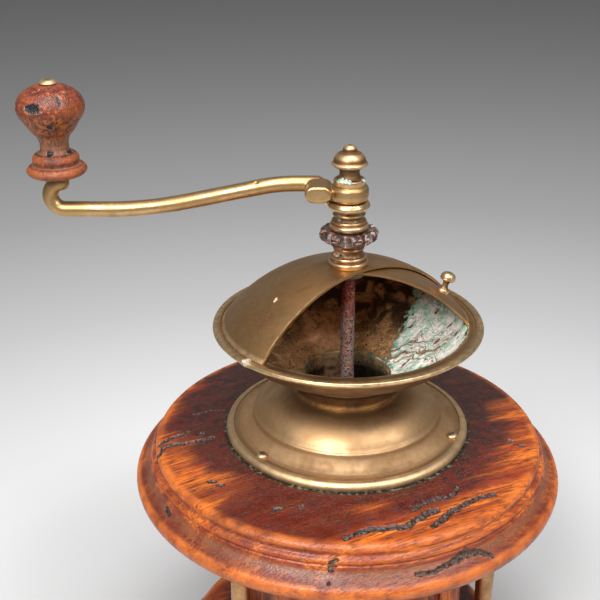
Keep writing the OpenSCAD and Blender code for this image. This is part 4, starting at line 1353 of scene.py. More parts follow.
@dataclass
class Case(Mill):
    """Boards, corner posts, columns and drawer."""

    post: float = 12
    chamfer: float = 4
    stop: float = 9
    tenon: float = 5

    def board(self, node: str, finish: Finish, body: Body, slot: Slot, rounding: float = 0.5) -> None:
        """Plane board in the box of its node, with its edges eased.

        Args:
            node: CAD node that it stands for.
            finish: Its finish.
            body: Body that it rides on.
            slot: Slot of the record.
            rounding: Width of its rounded edges, in millimetres.
        """
        low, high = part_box(node)
        place = {"size": 1, "location": (low + high) / 2, "scale": high - low}
        piece = settle(primitive(bpy.ops.mesh.primitive_cube_add, node + "_planed", **place))
        ease(piece, rounding)
        smooth(piece)
        self.hand_in(piece, finish, body, slot, node)

    def posts(self) -> None:
        """Four posts with stopped chamfers."""
        low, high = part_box("corner_posts")
        inner = high.x - self.post * MM
        size = Vector((self.post * MM, self.post * MM, high.z - low.z))
        middle = Vector((inner + size.x / 2, inner + size.x / 2, (low.z + high.z) / 2))
        cube, reach = bpy.ops.mesh.primitive_cube_add, 0.04
        post = settle(primitive(cube, "corner_posts_chamfered", size=1, location=middle, scale=size))
        tool = primitive(
            cube,
            "chamfer_tool",
            size=1,
            location=(high.x, high.y, middle.z),
            rotation=(0, 0, math.radians(45)),
            scale=(self.chamfer * math.sqrt(2) * MM, reach, size.z - 2 * self.stop * MM),
        )
        cut(post, settle(tool))
        ease(post, 0.5)
        modify(post, "MIRROR", use_axis=(True, True, False))
        smooth(post)
        self.hand_in(post, UPRIGHT, Body.CASE, Slot.CASE, "corner_posts")

    def column_rows(self, height: float) -> list[Row]:
        """Outline of a column with a tenon at each end.

        Args:
            height: Distance between the faces that it stands between, in millimetres.

        Returns:
            Its rows, upwards from the lower tenon.
        """
        half = [
            (2.8, -self.tenon, 0),
            (2.8, 0, 0),
            (6.4, 0, 0),
            (6.4, 0.8, -1.5),
            (6.2, 4.5, 0),
            (4.2, 5.1, 0.9),
            (4, 9, 0),
            (4.7, 9.4, -0.6),
            (4.6, 11, 0),
            (3.6, 11.5, 0),
        ]
        rises = [*(rise for _, _, rise in half[-2::-1]), 0.0]
        upper = [(r, height - z, rise) for (r, z, _), rise in zip(reversed(half), rises)]
        return [(0, -self.tenon, 0), *half, (4.4, height / 2, 0), *upper, (0, height + self.tenon, 0)]

    def build(self) -> None:
        """Makes the case and its drawer."""
        for node in ("left_panel", "right_panel", "back_panel", "front_panel"):
            self.board(node, UPRIGHT, Body.CASE, Slot.CASE, 0.3)
        self.posts()
        self.board("drawer_front", FRONT_WOOD, Body.DRAWER, Slot.CASE, 0.8)
        for node in ("drawer_left_side", "drawer_right_side", "drawer_back", "drawer_floor"):
            self.board(node, DRAWER_WOOD, Body.DRAWER, Slot.DRAWER, 0.4)
        for node in ("right_column", "rear_column", "left_column"):
            low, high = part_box(node)
            centre = (low + high) / 2
            rows = self.column_rows((high.z - low.z) / MM - 2 * self.tenon)
            place = foot(node, -self.tenon, centre.x, centre.y)
            turning = Turning(node + "_turned", rows, place, steps=48, reach=1.2)
            self.hand_in(turning.build(), TURNED_BRASS, Body.CASE, Slot.BRASS, node)
        low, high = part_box("drawer_knob")
        rows = [
            (0, 0, 0),
            (6.5, 0, 0),
            (6.5, 1.2, -0.4),
            (5, 2, 0),
            (3.75, 2.6, 0.8),
            (3.75, 7.5, 0.6),
            (7.1, 9.9, -0.5),
            (7.3, 12, -1),
            (1.4, 15, 0),
            (0, 15, 0),
        ]
        base = Vector((0, high.y, (low.z + high.z) / 2))
        turning = Turning("drawer_knob_turned", rows, base, Vector((0, -1, 0)), steps=64)
        self.hand_in(turning.build(), TURNED_BRASS, Body.DRAWER, Slot.BRASS, "drawer_knob")
        self.dress(DRAWER_WOOD, "mill_board", "drawer_guides")
        self.dress(STEEL, "base_screws")


@dataclass
class Hopper(Mill):
    """Flange, bowl, dome cover and sliding door.

    Radii, heights and walls are in millimetres from the axis or from the throat, azimuths in degrees
    from +X. The crust's edge is given by radius and azimuth, where its other side is a single azimuth.
    """

    neck: float = 24.5
    spigot: float = 22.5
    throat: float = 20.5
    rim: float = 60.5
    brim: float = 26.6
    dome: float = 71.6
    cover_wall: float = 1.2
    cover_foot: float = 56.7
    ledge: float = 0.7
    skirt: float = 0.5
    cover_azimuth: float = 24
    door_wall: float = 1.0
    door_gap: float = 0.6
    door_azimuth: float = -14
    knob_azimuth: float = 8.6
    knob_circle: float = 44.0
    knob_lean: float = 18
    stem: float = 5.6
    screw_circle: float = 50.3
    screw_azimuth: float = -35
    screw_head: float = 1.5
    crust_reach: float = 53.2
    crust_start: float = -44
    crust_wobble: float = 9
    crust_border: float = 6
    crust_rise: float = 0.3
    crust_edge: tuple[Point, ...] = (
        (20.5, 11.0),
        (24.0, 16.0),
        (30.0, 24.0),
        (41.0, 29.0),
        (49.0, 29.0),
        (52.0, 35.0),
        (60.0, 35.0),
    )

    def flange(self) -> None:
        """Bell and flange, spun from one sheet."""
        rows = [
            (46.4, 0, 0),
            (56, 0, 0),
            (56.4, 1.2, -0.9),
            (53.4, 3.8, -0.3),
            (52.8, 3.3, 0),
            (48.2, 3.3, 0),
            (47.4, 4, 0.7),
            (43.5, 9.55, -0.2),
            (42.6, 10.85, -2.9),
            (self.neck, 21.3, 0),
            (self.spigot + 0.05, 21.3, 0),
            (self.spigot + 0.05, 14.3, 0),
            (24.5, 14.3, 1.4),
            (40.3, 8.85, 0),
            (41.3, 0, 0),
        ]
        turning = Turning(
            "flange_spun", rows, foot("hopper_flange"), steps=192, longest=2, edge=0.2, reach=1.8
        )
        self.hand_in(turning.build(), BELL_BRASS, Body.CASE, Slot.BRASS, "hopper_flange")

    def bowl(self) -> None:
        """Bowl with its flat rim; its inside keeps what beans and damp have left."""
        low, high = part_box("hopper_bowl")
        depth = (high.z - low.z) / MM - self.brim
        bead, lip, bulge = self.neck + 5.6, self.rim - 7.4, 2.0
        rows = [
            (self.throat, -depth, 0),
            (self.spigot, -depth, 0),
            (self.spigot, -6.6, 0),
            (self.neck, -6.6, 0),
            (self.neck, -0.4, 0.5),
            (self.neck + 2, 1.4, 0),
            (bead - 1, 2.8, -0.5),
            (bead, 4.2, 0),
            (bead + 0.4, 5.1, -bulge),
            (self.rim - 1.6, 23.6, 0),
            (self.rim - 0.4, 24.8, -0.4),
            (self.rim, 26, -0.2),
            (self.rim - 0.6, self.brim, 0),
            (self.cover_foot + 0.5, self.brim, 0),
            (self.cover_foot + 0.3, 25.9, 0),
            (lip + 0.4, 25.9, 0.1),
            (lip, 25.4, bulge),
            (bead, 6.2, 0.6),
            (self.throat, 0, 0),
        ]
        turning = Turning("bowl_spun", rows, foot("hopper_bowl", -depth), steps=192, longest=2, edge=0.2)
        piece = turning.build()
        piece.data.materials.clear()
        piece.data.materials.append(BOWL_BRASS.material())
        piece.data.materials.append(BOWL_INSIDE.material())
        inside_top = high.z - 1.0 * MM
        for face in piece.data.polygons:
            inward = Vector((face.center.x, face.center.y, 0)).dot(face.normal) < 0
            face.material_index = int(inward and face.center.z < inside_top)
        self.crusted(piece)
        self.spot(piece, (-53, -27.9, 208.2, 2.6, 0.8), (-50.2, -25, 208.7, 1.3, 0.5))
        self.hand_in(piece, None, Body.CASE, Slot.BRASS, "hopper_bowl")

    def crusted(self, bowl: bpy.types.Object) -> None:
        """Thickens the crust that damp has left on one side of the bowl's inside.

        Args:
            bowl: Bowl that gets the crust, and the mark "crust".
        """
        radian = 57.3  # degrees
        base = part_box("hopper_bowl")[1].z - self.brim * MM
        notes = marks(bowl, "crust")
        for (vertex, normal), note in zip(skin(bowl), notes):
            out = Vector((vertex.co.x, vertex.co.y, 0))
            if out.dot(normal) > 0 or vertex.co.z < base - 0.5 * MM:
                continue
            radius, azimuth = out.length / MM, math.degrees(math.atan2(out.y, out.x))
            left = self.crust_edge[-1][1]
            for (r0, a0), (r1, a1) in zip(self.crust_edge, self.crust_edge[1:]):
                if r0 <= radius < r1:
                    left = a0 + (a1 - a0) * (radius - r0) / (r1 - r0)
            wobble = self.crust_wobble * noise.noise(vertex.co * 70)
            inside = min(left - azimuth, azimuth - self.crust_start + wobble) * radius / radian
            inside = min(inside, (self.crust_reach - radius) * 2)
            note.value = min(1.0, max(0.0, 0.5 + inside / self.crust_border))
            lump = 0.5 + noise.noise(vertex.co * 160) + 0.5 * noise.noise(vertex.co * 420)
            vertex.co += normal * self.crust_rise * note.value * max(0.0, lump) * MM

    def shell(
        self, name: str, radius: float, wall: float, foot_r: float, hole: float, centre: float
    ) -> Turning:
        """Part of a hollow sphere, from its foot up to the hole for the stem.

        Args:
            name: Name of the piece.
            radius: Outer radius of the sphere.
            wall: Thickness.
            foot_r: Outer radius at the foot.
            hole: Radius of the hole at the top.
            centre: Height of the sphere's centre, in metres.

        Returns:
            The turning, ready to build.
        """
        inner = radius - wall

        def level(r: float, a: float) -> float:
            """Height of a sphere of radius r at distance a from its axis."""
            return math.sqrt(r * r - a * a)

        def sag(r: float, a: float, b: float) -> float:
            """Rise of the arc between two distances from the axis of that sphere."""
            chord = math.dist((a, level(r, a)), (b, level(r, b)))
            return r - math.sqrt(r * r - chord * chord / 4)
        knee = 40.0
        rows = [
            (foot_r - wall, level(radius, foot_r) - self.skirt, 0),
            (foot_r, level(radius, foot_r) - self.skirt, 0),
            (foot_r, level(radius, foot_r), -sag(radius, foot_r, knee)),
            (knee, level(radius, knee), -sag(radius, knee, hole)),
            (hole, level(radius, hole), 0),
            (hole, level(inner, hole), sag(inner, hole, knee)),
            (knee, level(inner, knee), sag(inner, knee, foot_r - wall)),
        ]
        return Turning(name, rows, Vector((0, 0, centre)), steps=192, longest=2, edge=0)

    @staticmethod
    def keep_behind(piece: bpy.types.Object, azimuth: float, edge: float) -> None:
        """Cuts away what lies past a straight line.

        Args:
            piece: Piece that is cut.
            azimuth: Direction of the line, in degrees.
            edge: Its distance from the axis, in millimetres.
        """
        a = math.radians(azimuth)
        across = Vector((-math.sin(a), math.cos(a), 0))
        only(piece)
        editing()
        bpy.ops.mesh.bisect(
            plane_co=across * -edge * MM, plane_no=across, use_fill=True, clear_inner=True, threshold=1e-7
        )
        bpy.ops.object.mode_set(mode="OBJECT")

    def dome_pieces(self) -> None:
        """Fixed half of the dome and the door that slides beneath it."""
        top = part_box("hopper_bowl")[1].z
        rise = math.sqrt(self.dome**2 - self.cover_foot**2)
        centre = top - (self.ledge - self.skirt) * MM - rise * MM
        hole = self.stem + 0.05
        cover = self.shell("cover_spun", self.dome, self.cover_wall, self.cover_foot, hole, centre).build()
        self.keep_behind(cover, self.cover_azimuth, 9.5)
        ease(cover, 0.25)
        self.dent(cover)
        self.spot(
            cover,
            (-35.5, -8.6, 225.8, 1.1, 0.05),
            (-36.6, -10, 225.2, 0.8, 0.05),
            (-40.9, -19.5, 219.7, 0.6, 0),
        )
        smooth(cover)
        self.hand_in(cover, COVER_BRASS, Body.CASE, Slot.BRASS, "hopper_cover")
        radius = self.dome - self.cover_wall - self.door_gap
        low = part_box("hopper_door")[0].z - centre
        foot_r = math.sqrt(radius**2 - (low / MM + self.skirt) ** 2)
        door = self.shell("door_spun", radius, self.door_wall, foot_r, self.stem + 0.08, centre).build()
        self.keep_behind(door, self.door_azimuth, 7)
        ease(door, 0.2)
        smooth(door)
        self.hand_in(door, COVER_BRASS, Body.DOOR, Slot.BRASS, "hopper_door")
        self.door_knob(radius, centre)

    @staticmethod
    def dent(cover: bpy.types.Object) -> None:
        """Gives the spun cover the slight unevenness of hand work."""
        for vertex in cover.data.vertices:
            vertex.co += vertex.co.normalized() * noise.noise(vertex.co * 38) * 0.12 * MM

    def door_knob(self, radius: float, centre: float) -> None:
        """Small knob whose foot is filed to the door's curve.

        Args:
            radius: Outer radius of the door, in millimetres.
            centre: Height of the door's centre, in metres.
        """
        turn, lean = math.radians(self.door_azimuth + self.knob_azimuth), math.radians(self.knob_lean)
        circle, h, r = self.knob_circle, 9.3, 3.4
        stand = Vector((circle * math.cos(turn), circle * math.sin(turn), math.sqrt(radius**2 - circle**2)))
        axis = Vector((math.sin(lean) * math.cos(turn), math.sin(lean) * math.sin(turn), math.cos(lean)))
        rows = [
            (0, -0.5, 0),
            (r - 0.6, -0.5, 0),
            (r - 0.6, 0.7, -0.2),
            (2.13, 1.6, 0.5),
            (1.53, h * 0.5, 0.2),
            (r - 0.5, h * 0.6, -0.3),
            (r, h * 0.72, -0.9),
            (0.8, h, 0),
            (0, h, 0),
        ]
        base = stand * MM + Vector((0, 0, centre))
        piece = Turning("door_knob_turned", rows, base, axis, steps=48, longest=0.8, edge=0.1).build()
        hub = Vector((0, 0, centre))
        for vertex in piece.data.vertices:
            if (vertex.co - base).dot(axis) < 0.3 * MM:
                out = vertex.co - hub
                drop = out.length - (radius - 0.2) * MM
                vertex.co -= axis * drop / axis.dot(out.normalized())
        self.hand_in(piece, TURNED_BRASS, Body.DOOR, Slot.BRASS, "door_knob")

    def screws(self) -> None:
        """Round-headed screws of the flange, each slot at its own angle."""
        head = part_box("flange_screws")[1].z - self.screw_head * MM
        for i, slot_turn in enumerate((20, 75, 130)):
            a = math.radians(self.screw_azimuth + 120 * i)
            at = Vector((self.screw_circle * math.cos(a) * MM, self.screw_circle * math.sin(a) * MM, head))
            rows = [
                (0, -14.3, 0),
                (0.6, -14.3, 0),
                (1.4, -11.5, 0),
                (1.4, 0, 0),
                (2.6, 0, 0),
                (2.6, 0.4, -0.4),
                (0.8, self.screw_head, 0),
                (0, self.screw_head, 0),
            ]
            name = f"flange_screw_{i + 1}"
            screw = Turning(name, rows, at, steps=40, longest=0.8, edge=0.08, reach=0.8).build()
            tool = primitive(
                bpy.ops.mesh.primitive_cube_add,
                "slot_tool",
                size=1,
                location=at + Vector((0, 0, self.screw_head * MM)),
                rotation=(0, 0, math.radians(slot_turn)),
                scale=(7 * MM, 0.55 * MM, 1.3 * MM),
            )
            cut(screw, settle(tool))
            smooth(screw, 30)
            self.hand_in(screw, SCREW_BRASS, Body.CASE, Slot.BRASS, "flange_screws")

    def build(self) -> None:
        """Makes the whole hopper."""
        self.flange()
        self.bowl()
        self.dome_pieces()
        self.screws()


@dataclass
class SpindleGroup(Mill):
    """Bush, star wheel, spindle, collar and finial."""

    stem: float = 5.6
    bore: float = 3.23
    lobes: int = 8
    def bush(self) -> None:
        """Turned bush on the dome's crown."""
        r = 8.6
        low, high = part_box("top_bush")
        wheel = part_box("adjusting_wheel")[0].z
        base = Vector((0, 0, wheel - (0.25 + 9.6 + 1.4) * MM))
        rows = [
            (self.bore, (low.z - base.z) / MM, 0),
            (self.stem, (low.z - base.z) / MM, 0),
            (self.stem, 0, 0),
            (r - 0.3, 0, 0),
            (r, 1.4, -0.5),
            (r - 0.3, 3.2, 0),
            (r - 1.1, 3.6, -0.5),
            (r - 1.2, 5.4, 0),
            (r - 1.9, 5.8, 0.3),
            (r - 2.2, 7.8, 0),
            (r - 1.9, 8.2, -0.2),
            (r - 1.9, 9.2, 0.5),
            (r - 0.9, 11, 0),
            (self.stem, 11, 0),
            (self.stem, (high.z - base.z) / MM, 0),
            (self.bore, (high.z - base.z) / MM, 0),
        ]
        piece = Turning("bush_turned", rows, base, longest=0.8, edge=0.12).build()
        self.hand_in(piece, BUSH_BRASS, Body.CASE, Slot.BRASS, "top_bush")

    def wheel(self) -> None:
        """Star wheel: eight lobes, each with a hollow in its outer face and a notch on top."""
        r, t = 12.7, 5.8
        bore = self.stem + 0.08
        base = foot("adjusting_wheel")
        rows = [
            (bore, 0, 0),
            (r - 3.4, 0, 0),
            (r - 2, 0.87, 0),
            (r - 1.2, 1.74, 0),
            (r, 2.34, -0.3),
            (r, t - 1, 0),
            (r - 1, t, 0),
            (bore, t, 0),
        ]
        piece = Turning("star_wheel_cast", rows, base, longest=0.9, edge=0).build()
        scallop = r * math.sin(math.pi / self.lobes) * 0.62
        cylinder = bpy.ops.mesh.primitive_cylinder_add
        for i in range(self.lobes):
            a = math.tau * (i + 0.5) / self.lobes
            b = math.tau * i / self.lobes
            out, lobe = Vector((math.cos(a), math.sin(a), 0)), Vector((math.cos(b), math.sin(b), 0))
            between = primitive(
                cylinder,
                "scallop_tool",
                vertices=40,
                radius=scallop * MM,
                depth=12 * MM,
                location=base + out * (r + scallop * 0.25) * MM + UP * t / 2 * MM,
            )
            cut(piece, settle(between))
            notch = primitive(
                cylinder,
                "notch_tool",
                vertices=32,
                radius=1.1 * MM,
                depth=5 * MM,
                location=base + lobe * r * MM + UP * (t + 0.2) * MM,
                rotation=(0, math.pi / 2, b),
            )
            cut(piece, settle(notch))
            hollow = primitive(
                bpy.ops.mesh.primitive_uv_sphere_add,
                "hollow_tool",
                segments=24,
                ring_count=12,
                radius=1,
                location=base + lobe * (r + 0.15) * MM + UP * 3.7 * MM,
                rotation=(0, 0, b),
                scale=(0.8 * MM, 2.1 * MM, 0.85 * MM),
            )
            cut(piece, settle(hollow))
        ease(piece, 0.28, 30)
        roughen(piece, 0.1, 300)
        note_edges(piece)
        smooth(piece, 50)
        self.hand_in(piece, STAR_IRON, Body.ADJUSTER, Slot.IRON, "adjusting_wheel")

    def spindle(self) -> None:
        """Iron spindle, pitted by rust where it crosses the bowl, with two steps under the finial."""
        low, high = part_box("spindle")
        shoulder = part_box("spindle_collar")[1].z - 0.8 * MM
        length, top = (shoulder - low.z) / MM, (high.z - low.z) / MM
        rod, seat, thread = 3.15, 2.2, 1.9
        rows = [
            (0, 0, 0),
            (3.0, 0, 0),
            (rod, 0.3, 0),
            (rod, length, 0),
            (seat, length + 0.1, 0),
            (seat, length + 7, 0),
            (thread, length + 7.1, 0),
            (thread, top, 0),
            (0, top, 0),
        ]
        base = Vector((0, 0, low.z))
        piece = Turning("spindle_forged", rows, base, steps=56, longest=0.7, edge=0).build()
        roughen(piece, 0.13, 420)
        smooth(piece, 60)
        self.hand_in(piece, SPINDLE_IRON, Body.CRANK, Slot.IRON, "spindle")

    def collar(self) -> None:
        """Turned collar with the ear that carries the lug."""
        r, h = 8.5, 12.6
        base = foot("spindle_collar")
        rows = [
            (3.2, 0, 0),
            (r - 0.9, 0, -0.2),
            (r, 1.1, -0.3),
            (r - 0.5, 2.6, 0),
            (r - 1.2, 2.9, 0),
            (r - 0.9, 3.4, -0.2),
            (r - 1.4, 4.4, 0.5),
            (r - 2, 6, 0),
            (r - 1.6, 6.4, -0.3),
            (r - 1.7, 7.4, 0),
            (r - 1.9, 7.6, 0.3),
            (r - 0.2, 9.2, -0.6),
            (r + 0.1, h - 0.9, -0.2),
            (r - 0.8, h, 0),
            (3.2, h, 0),
        ]
        piece = Turning("collar_turned", rows, base, longest=0.8, edge=0.12).build()
        a = math.radians(CRANK_AZIMUTH)
        along, side = Vector((math.cos(a), math.sin(a), 0)), Vector((-math.sin(a), math.cos(a), 0))
        profile = [
            (4.5, h - 6.4, 0),
            (6.3, h - 6.4, 0.6),
            (10, h - 1.8, 0),
            (10.8, h + 0.2, 0),
            (10.8, h + 0.6, 0),
            (8.7, h + 0.6, 0),
            (8.7, h - 0.25, 0),
            (4.5, h - 0.25, 0),
        ]
        points = [base + along * x * MM + UP * z * MM - side * 3.5 * MM for x, z in outline(profile, 5)]
        ear = slab("ear", points, side * 5 * MM)
        ease(ear, 0.5, 50)
        cut(piece, ear, "UNION")
        smooth(piece)
        self.hand_in(piece, TURNED_BRASS, Body.CRANK, Slot.BRASS, "spindle_collar")

    def finial(self) -> None:
        """Finial nut over the crank's hub."""
        r, waist, cap, top = 6.8, 4.3, 7.6, 17.1
        rows = [
            (0, 0, 0),
            (r - 0.1, 0, 0),
            (r, 2.3, 0),
            (r - 0.4, 2.6, 0.5),
            (waist, 4.8, 0),
            (waist, 6.2, 0.3),
            (cap - 0.6, 8.1, 0),
            (cap, 8.7, -0.3),
            (cap - 0.2, 9.8, 0),
            (cap - 0.7, 10.2, -1),
            (3.3, 14.3, 0),
            (2.9, 14.5, -1),
            (0.6, top, 0),
            (0, top, 0),
        ]
        base = foot("finial_nut")
        piece = Turning("finial_turned", rows, base, longest=0.8, edge=0.12).build()
        low = base.z / MM
        # Damp spots round the waist: azimuth, distance from the axis and height.
        damp = (
            (205, 6.0, 2.8),
            (217, 5.6, 3.2),
            (230, 6.0, 2.9),
            (243, 5.8, 3.1),
            (254, 6.3, 2.5),
            (322, 6.6, 2.3),
        )
        for azimuth, out, z in damp:
            a = math.radians(azimuth)
            self.spot(piece, (out * math.cos(a), out * math.sin(a), low + z, 1.5, 0.1))
        self.hand_in(piece, FINIAL_BRASS, Body.CRANK, Slot.BRASS, "finial_nut")

    def build(self) -> None:
        """Makes the pieces from the dome upwards."""
        self.bush()
        self.wheel()
        self.spindle()
        self.collar()
        self.finial()
        self.dress(STEEL, "bush_nut")


@dataclass
class Crank(Mill):
    """Cast hub and lug, the bent rod and the knob on its pin, in millimetres from the spindle."""

    length: float = 127
    offset: float = 5.8
    rod: float = 3.5
    hub_r: float = 8.35
    hub_h: float = 7.3
    lug_w: float = 11.6
    dip: float = 12
    curl: float = 6.1

    def __post_init__(self) -> None:
        """Directions along the crank and across it."""
        a = math.radians(CRANK_AZIMUTH)
        self.along = Vector((math.cos(a), math.sin(a), 0))
        self.across = Vector((-math.sin(a), math.cos(a), 0))
        self.base = foot("finial_nut", self.hub_h)

    def at(self, x: float, y: float, z: float) -> Vector:
        """Point along, across and above the hub's foot, given in millimetres."""
        return self.base + (self.along * x + self.across * y + UP * z) * MM

    def rod_line(self) -> list[Point]:
        """Middle line of the rod, from the lug to the end of its curl.

        Returns:
            Its points along the crank and above the hub's foot, in millimetres.
        """
        d = math.radians(self.dip)
        top = self.hub_h / 2 + 1.9
        start, first, second = 22.0, 80.0, 178.0
        curl_x = self.length - 1.9
        second_end = curl_x - 17
        straight = second_end - second * math.sin(d) - start - first * math.sin(d)
        low = top - (first + second) * (1 - math.cos(d)) - straight * math.tan(d)

        def arc(cx: float, cz: float, r: float, a: float, b: float, steps: int) -> list[Point]:
            """Points on an arc round (cx, cz), from a to b in degrees."""
            return [(cx + r * math.cos(t), cz + r * math.sin(t)) for t in steps_round(a, b, steps)]

        return [
            (self.hub_r + 4.9, top),
            *arc(start, top - first, first, 90, 90 - self.dip, 6),
            *arc(second_end, low + second, second, -90 - self.dip, -90, 8),
            *arc(curl_x, low + self.curl, self.curl, -90, 90, 16),
            (self.length - 5.4 + self.rod, low + 2 * self.curl),
        ]

    def draw_rod(self) -> bpy.types.Object:
        """Round rod swept along its line, with rounded ends.

        Returns:
            The rod, as a mesh.
        """
        line = self.rod_line()
        data = bpy.data.curves.new("rod", "CURVE")
        data.dimensions = "3D"
        data.bevel_depth = self.rod * MM
        data.bevel_resolution = 8
        data.use_fill_caps = True
        spline = data.splines.new("POLY")
        (ax, az), (bx, bz) = line[0], line[-1]
        start = [(ax - 2.8, az, 0.25), (ax - 2.0, az, 0.72)]
        end = [(bx - 2.0, bz, 0.72), (bx - 2.8, bz, 0.25)]
        stations = [*start, *((x, z, 1.0) for x, z in line), *end]
        spline.points.add(len(stations) - 1)
        for point, (x, z, radius) in zip(spline.points, stations):
            point.co = (*self.at(x, -self.offset, z), 1)
            point.radius = radius
        rod = bpy.data.objects.new("rod", data)
        bpy.context.scene.collection.objects.link(rod)
        only(rod)
        bpy.ops.object.convert(target="MESH")
        return bpy.context.object

    def arm(self) -> None:
        """Hub, lug and rod, grown into one casting."""
        hub_rows = [
            (0, 0, 0),
            (self.hub_r - 1.9, 0, -0.5),
            (self.hub_r - 0.1, 2.4, -0.1),
            (self.hub_r, self.hub_h - 2.9, -0.7),
            (self.hub_r - 1.7, self.hub_h, 0),
            (0, self.hub_h, 0),
        ]
        hub = Turning("arm_cast", hub_rows, self.base, longest=0.8, edge=0.2).build()
        r = self.hub_h / 2
        middle = self.hub_r - 1.1 + self.lug_w / 2
        half = self.lug_w / 2 - r
        ring = [(middle + half + r * math.cos(t), r + r * math.sin(t)) for t in steps_round(-90, 90, 12)]
        ring += [(middle - half + r * math.cos(t), r + r * math.sin(t)) for t in steps_round(90, 270, 12)]
        lug = slab(
            "lug",
            [self.at(x, -self.offset, 0.9 + z) for x, z in ring],
            self.across * (8 + self.offset) * MM,
        )
        ease(lug, 1.1, 60)
        rod = self.draw_rod()
        only(hub, lug, rod)
        bpy.ops.object.join()
        modify(hub, "REMESH", mode="VOXEL", voxel_size=0.34 * MM, adaptivity=0, use_smooth_shade=True)
        modify(hub, "SMOOTH", factor=0.5, iterations=7)
        self.file_marks(hub)
        note_edges(hub)
        smooth(hub, 60)
        self.hand_in(hub, CAST_BRASS, Body.CRANK, Slot.BRASS, "crank_arm")

    def file_marks(self, arm: bpy.types.Object) -> None:
        """Small dents beside the lug and the slight waviness of a hand-drawn rod.

        Args:
            arm: Casting that gets them.
        """
        dents = (
            (8.6, 3.4, 3.4, 0.9, 0.7),
            (7.9, 4.4, 4.6, 0.7, 0.5),
            (9.4, 3.0, 5.2, 0.6, 0.5),
            (40, -4, 6.5, 1.4, 0.35),
        )
        for vertex, normal in skin(arm):
            rise = noise.noise(vertex.co * 90) * 0.06
            for x, y, z, size, depth in dents:
                away = (vertex.co - self.at(x, y, z)).length / MM / size
                if away < 1.6:
                    rise -= depth * math.exp(-3 * away * away)
            vertex.co += normal * rise * MM

    def knob(self) -> None:
        """Turned wooden knob and the brass pin through it."""
        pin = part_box("knob_spindle")
        centre = (pin[0] + pin[1]) / 2
        foot_r, waist, head, h = 13.0, 6.2, 14.5, 39.2
        rows = [
            (2.28, 0, 0),
            (foot_r - 2.9, 0, -0.6),
            (foot_r, 2.3, -0.7),
            (foot_r - 2.6, 4.8, 0),
            (foot_r - 3.5, 5.1, 0),
            (foot_r - 3.4, 5.6, -0.6),
            (foot_r - 3.7, 9.2, 0),
            (foot_r - 4.8, 10, 0.8),
            (waist, 12.9, 0.2),
            (waist + 0.2, 15.4, 0.35),
            (waist + 2.4, 19, -0.1),
            (head - 2.4, h - 15, -0.5),
            (head, h - 9.6, -1.9),
            (head - 6.8, h - 1.1, -0.3),
            (head - 9.6, h, 0),
            (2.28, h, 0),
        ]
        base = foot("crank_knob", 0, centre.x, centre.y)
        piece = Turning("knob_turned", rows, base, steps=128, longest=0.8, edge=0.2, reach=1.8).build()
        self.chip(piece, base)
        smooth(piece)
        wood = KnobWood("crank_knob_mahogany", level=base.z / MM)
        self.hand_in(piece, wood, Body.GRIP, Slot.KNOB, "crank_knob")
        top = (pin[1].z - pin[0].z) / MM - 5 - 1.9
        rows = [
            (0, -5, 0),
            (2.2, -5, 0),
            (2.2, top, 0),
            (3.6, top, 0),
            (3.8, top + 0.4, -0.5),
            (0.8, top + 1.9, 0),
            (0, top + 1.9, 0),
        ]
        base = foot("knob_spindle", -5, centre.x, centre.y)
        piece = Turning("knob_pin_turned", rows, base, steps=48, longest=0.8, edge=0.08).build()
        self.hand_in(piece, BUTTON_BRASS, Body.CRANK, Slot.BRASS, "knob_spindle")

    @staticmethod
    def chip(knob: bpy.types.Object, base: Vector) -> None:
        """Knocks chips out of the knob: azimuth, height, width, tallness and depth of each.

        Args:
            knob: Knob that gets them, and the mark "track".
            base: Point on its axis at its foot, in metres.
        """
        notes = marks(knob, "track")
        chips = (
            (-124, 31.8, 4.4, 2.5, 0.9),
            (-96, 23.6, 1.7, 1.2, 0.8),
            (-75, 34.4, 1.1, 2.4, 0.5),
            (-113, 10.9, 1.9, 1.1, 0.6),
            (-30, 10.6, 2.6, 0.8, 0.3),
            (70, 27, 2.0, 1.4, 0.7),
            (150, 5, 2.2, 1.0, 0.6),
        )
        for vertex, note in zip(knob.data.vertices, notes):
            offset = vertex.co - base
            radius = math.hypot(offset.x, offset.y) / MM
            if radius < 4:
                continue
            azimuth = math.degrees(math.atan2(offset.y, offset.x))
            for turn, height, wide, tall, depth in chips:
                side = math.radians(math.remainder(azimuth - turn, 360)) * radius
                away = math.hypot(side / wide, (offset.z / MM - height) / tall)
                away *= 1 + 0.55 * noise.noise(vertex.co * 800)
                dip = min(1.0, max(0.0, 2.2 * (1 - away)))
                if dip:
                    vertex.co -= Vector((offset.x, offset.y, 0)).normalized() * dip * depth * MM
                    note.value = max(note.value, dip)

    def build(self) -> None:
        """Makes the crank."""
        self.arm()
        self.knob()


@dataclass
class Grinder(Mill):
    """Burrs and bridge inside the case, which keep their solids."""

    def build(self) -> None:
        """Dresses the grinder."""
        self.dress(CAST_IRON, "outer_burr", "inner_burr", "bearing_bridge")
        self.dress(STEEL, "burr_pin", "burr_screws", "bridge_screws")


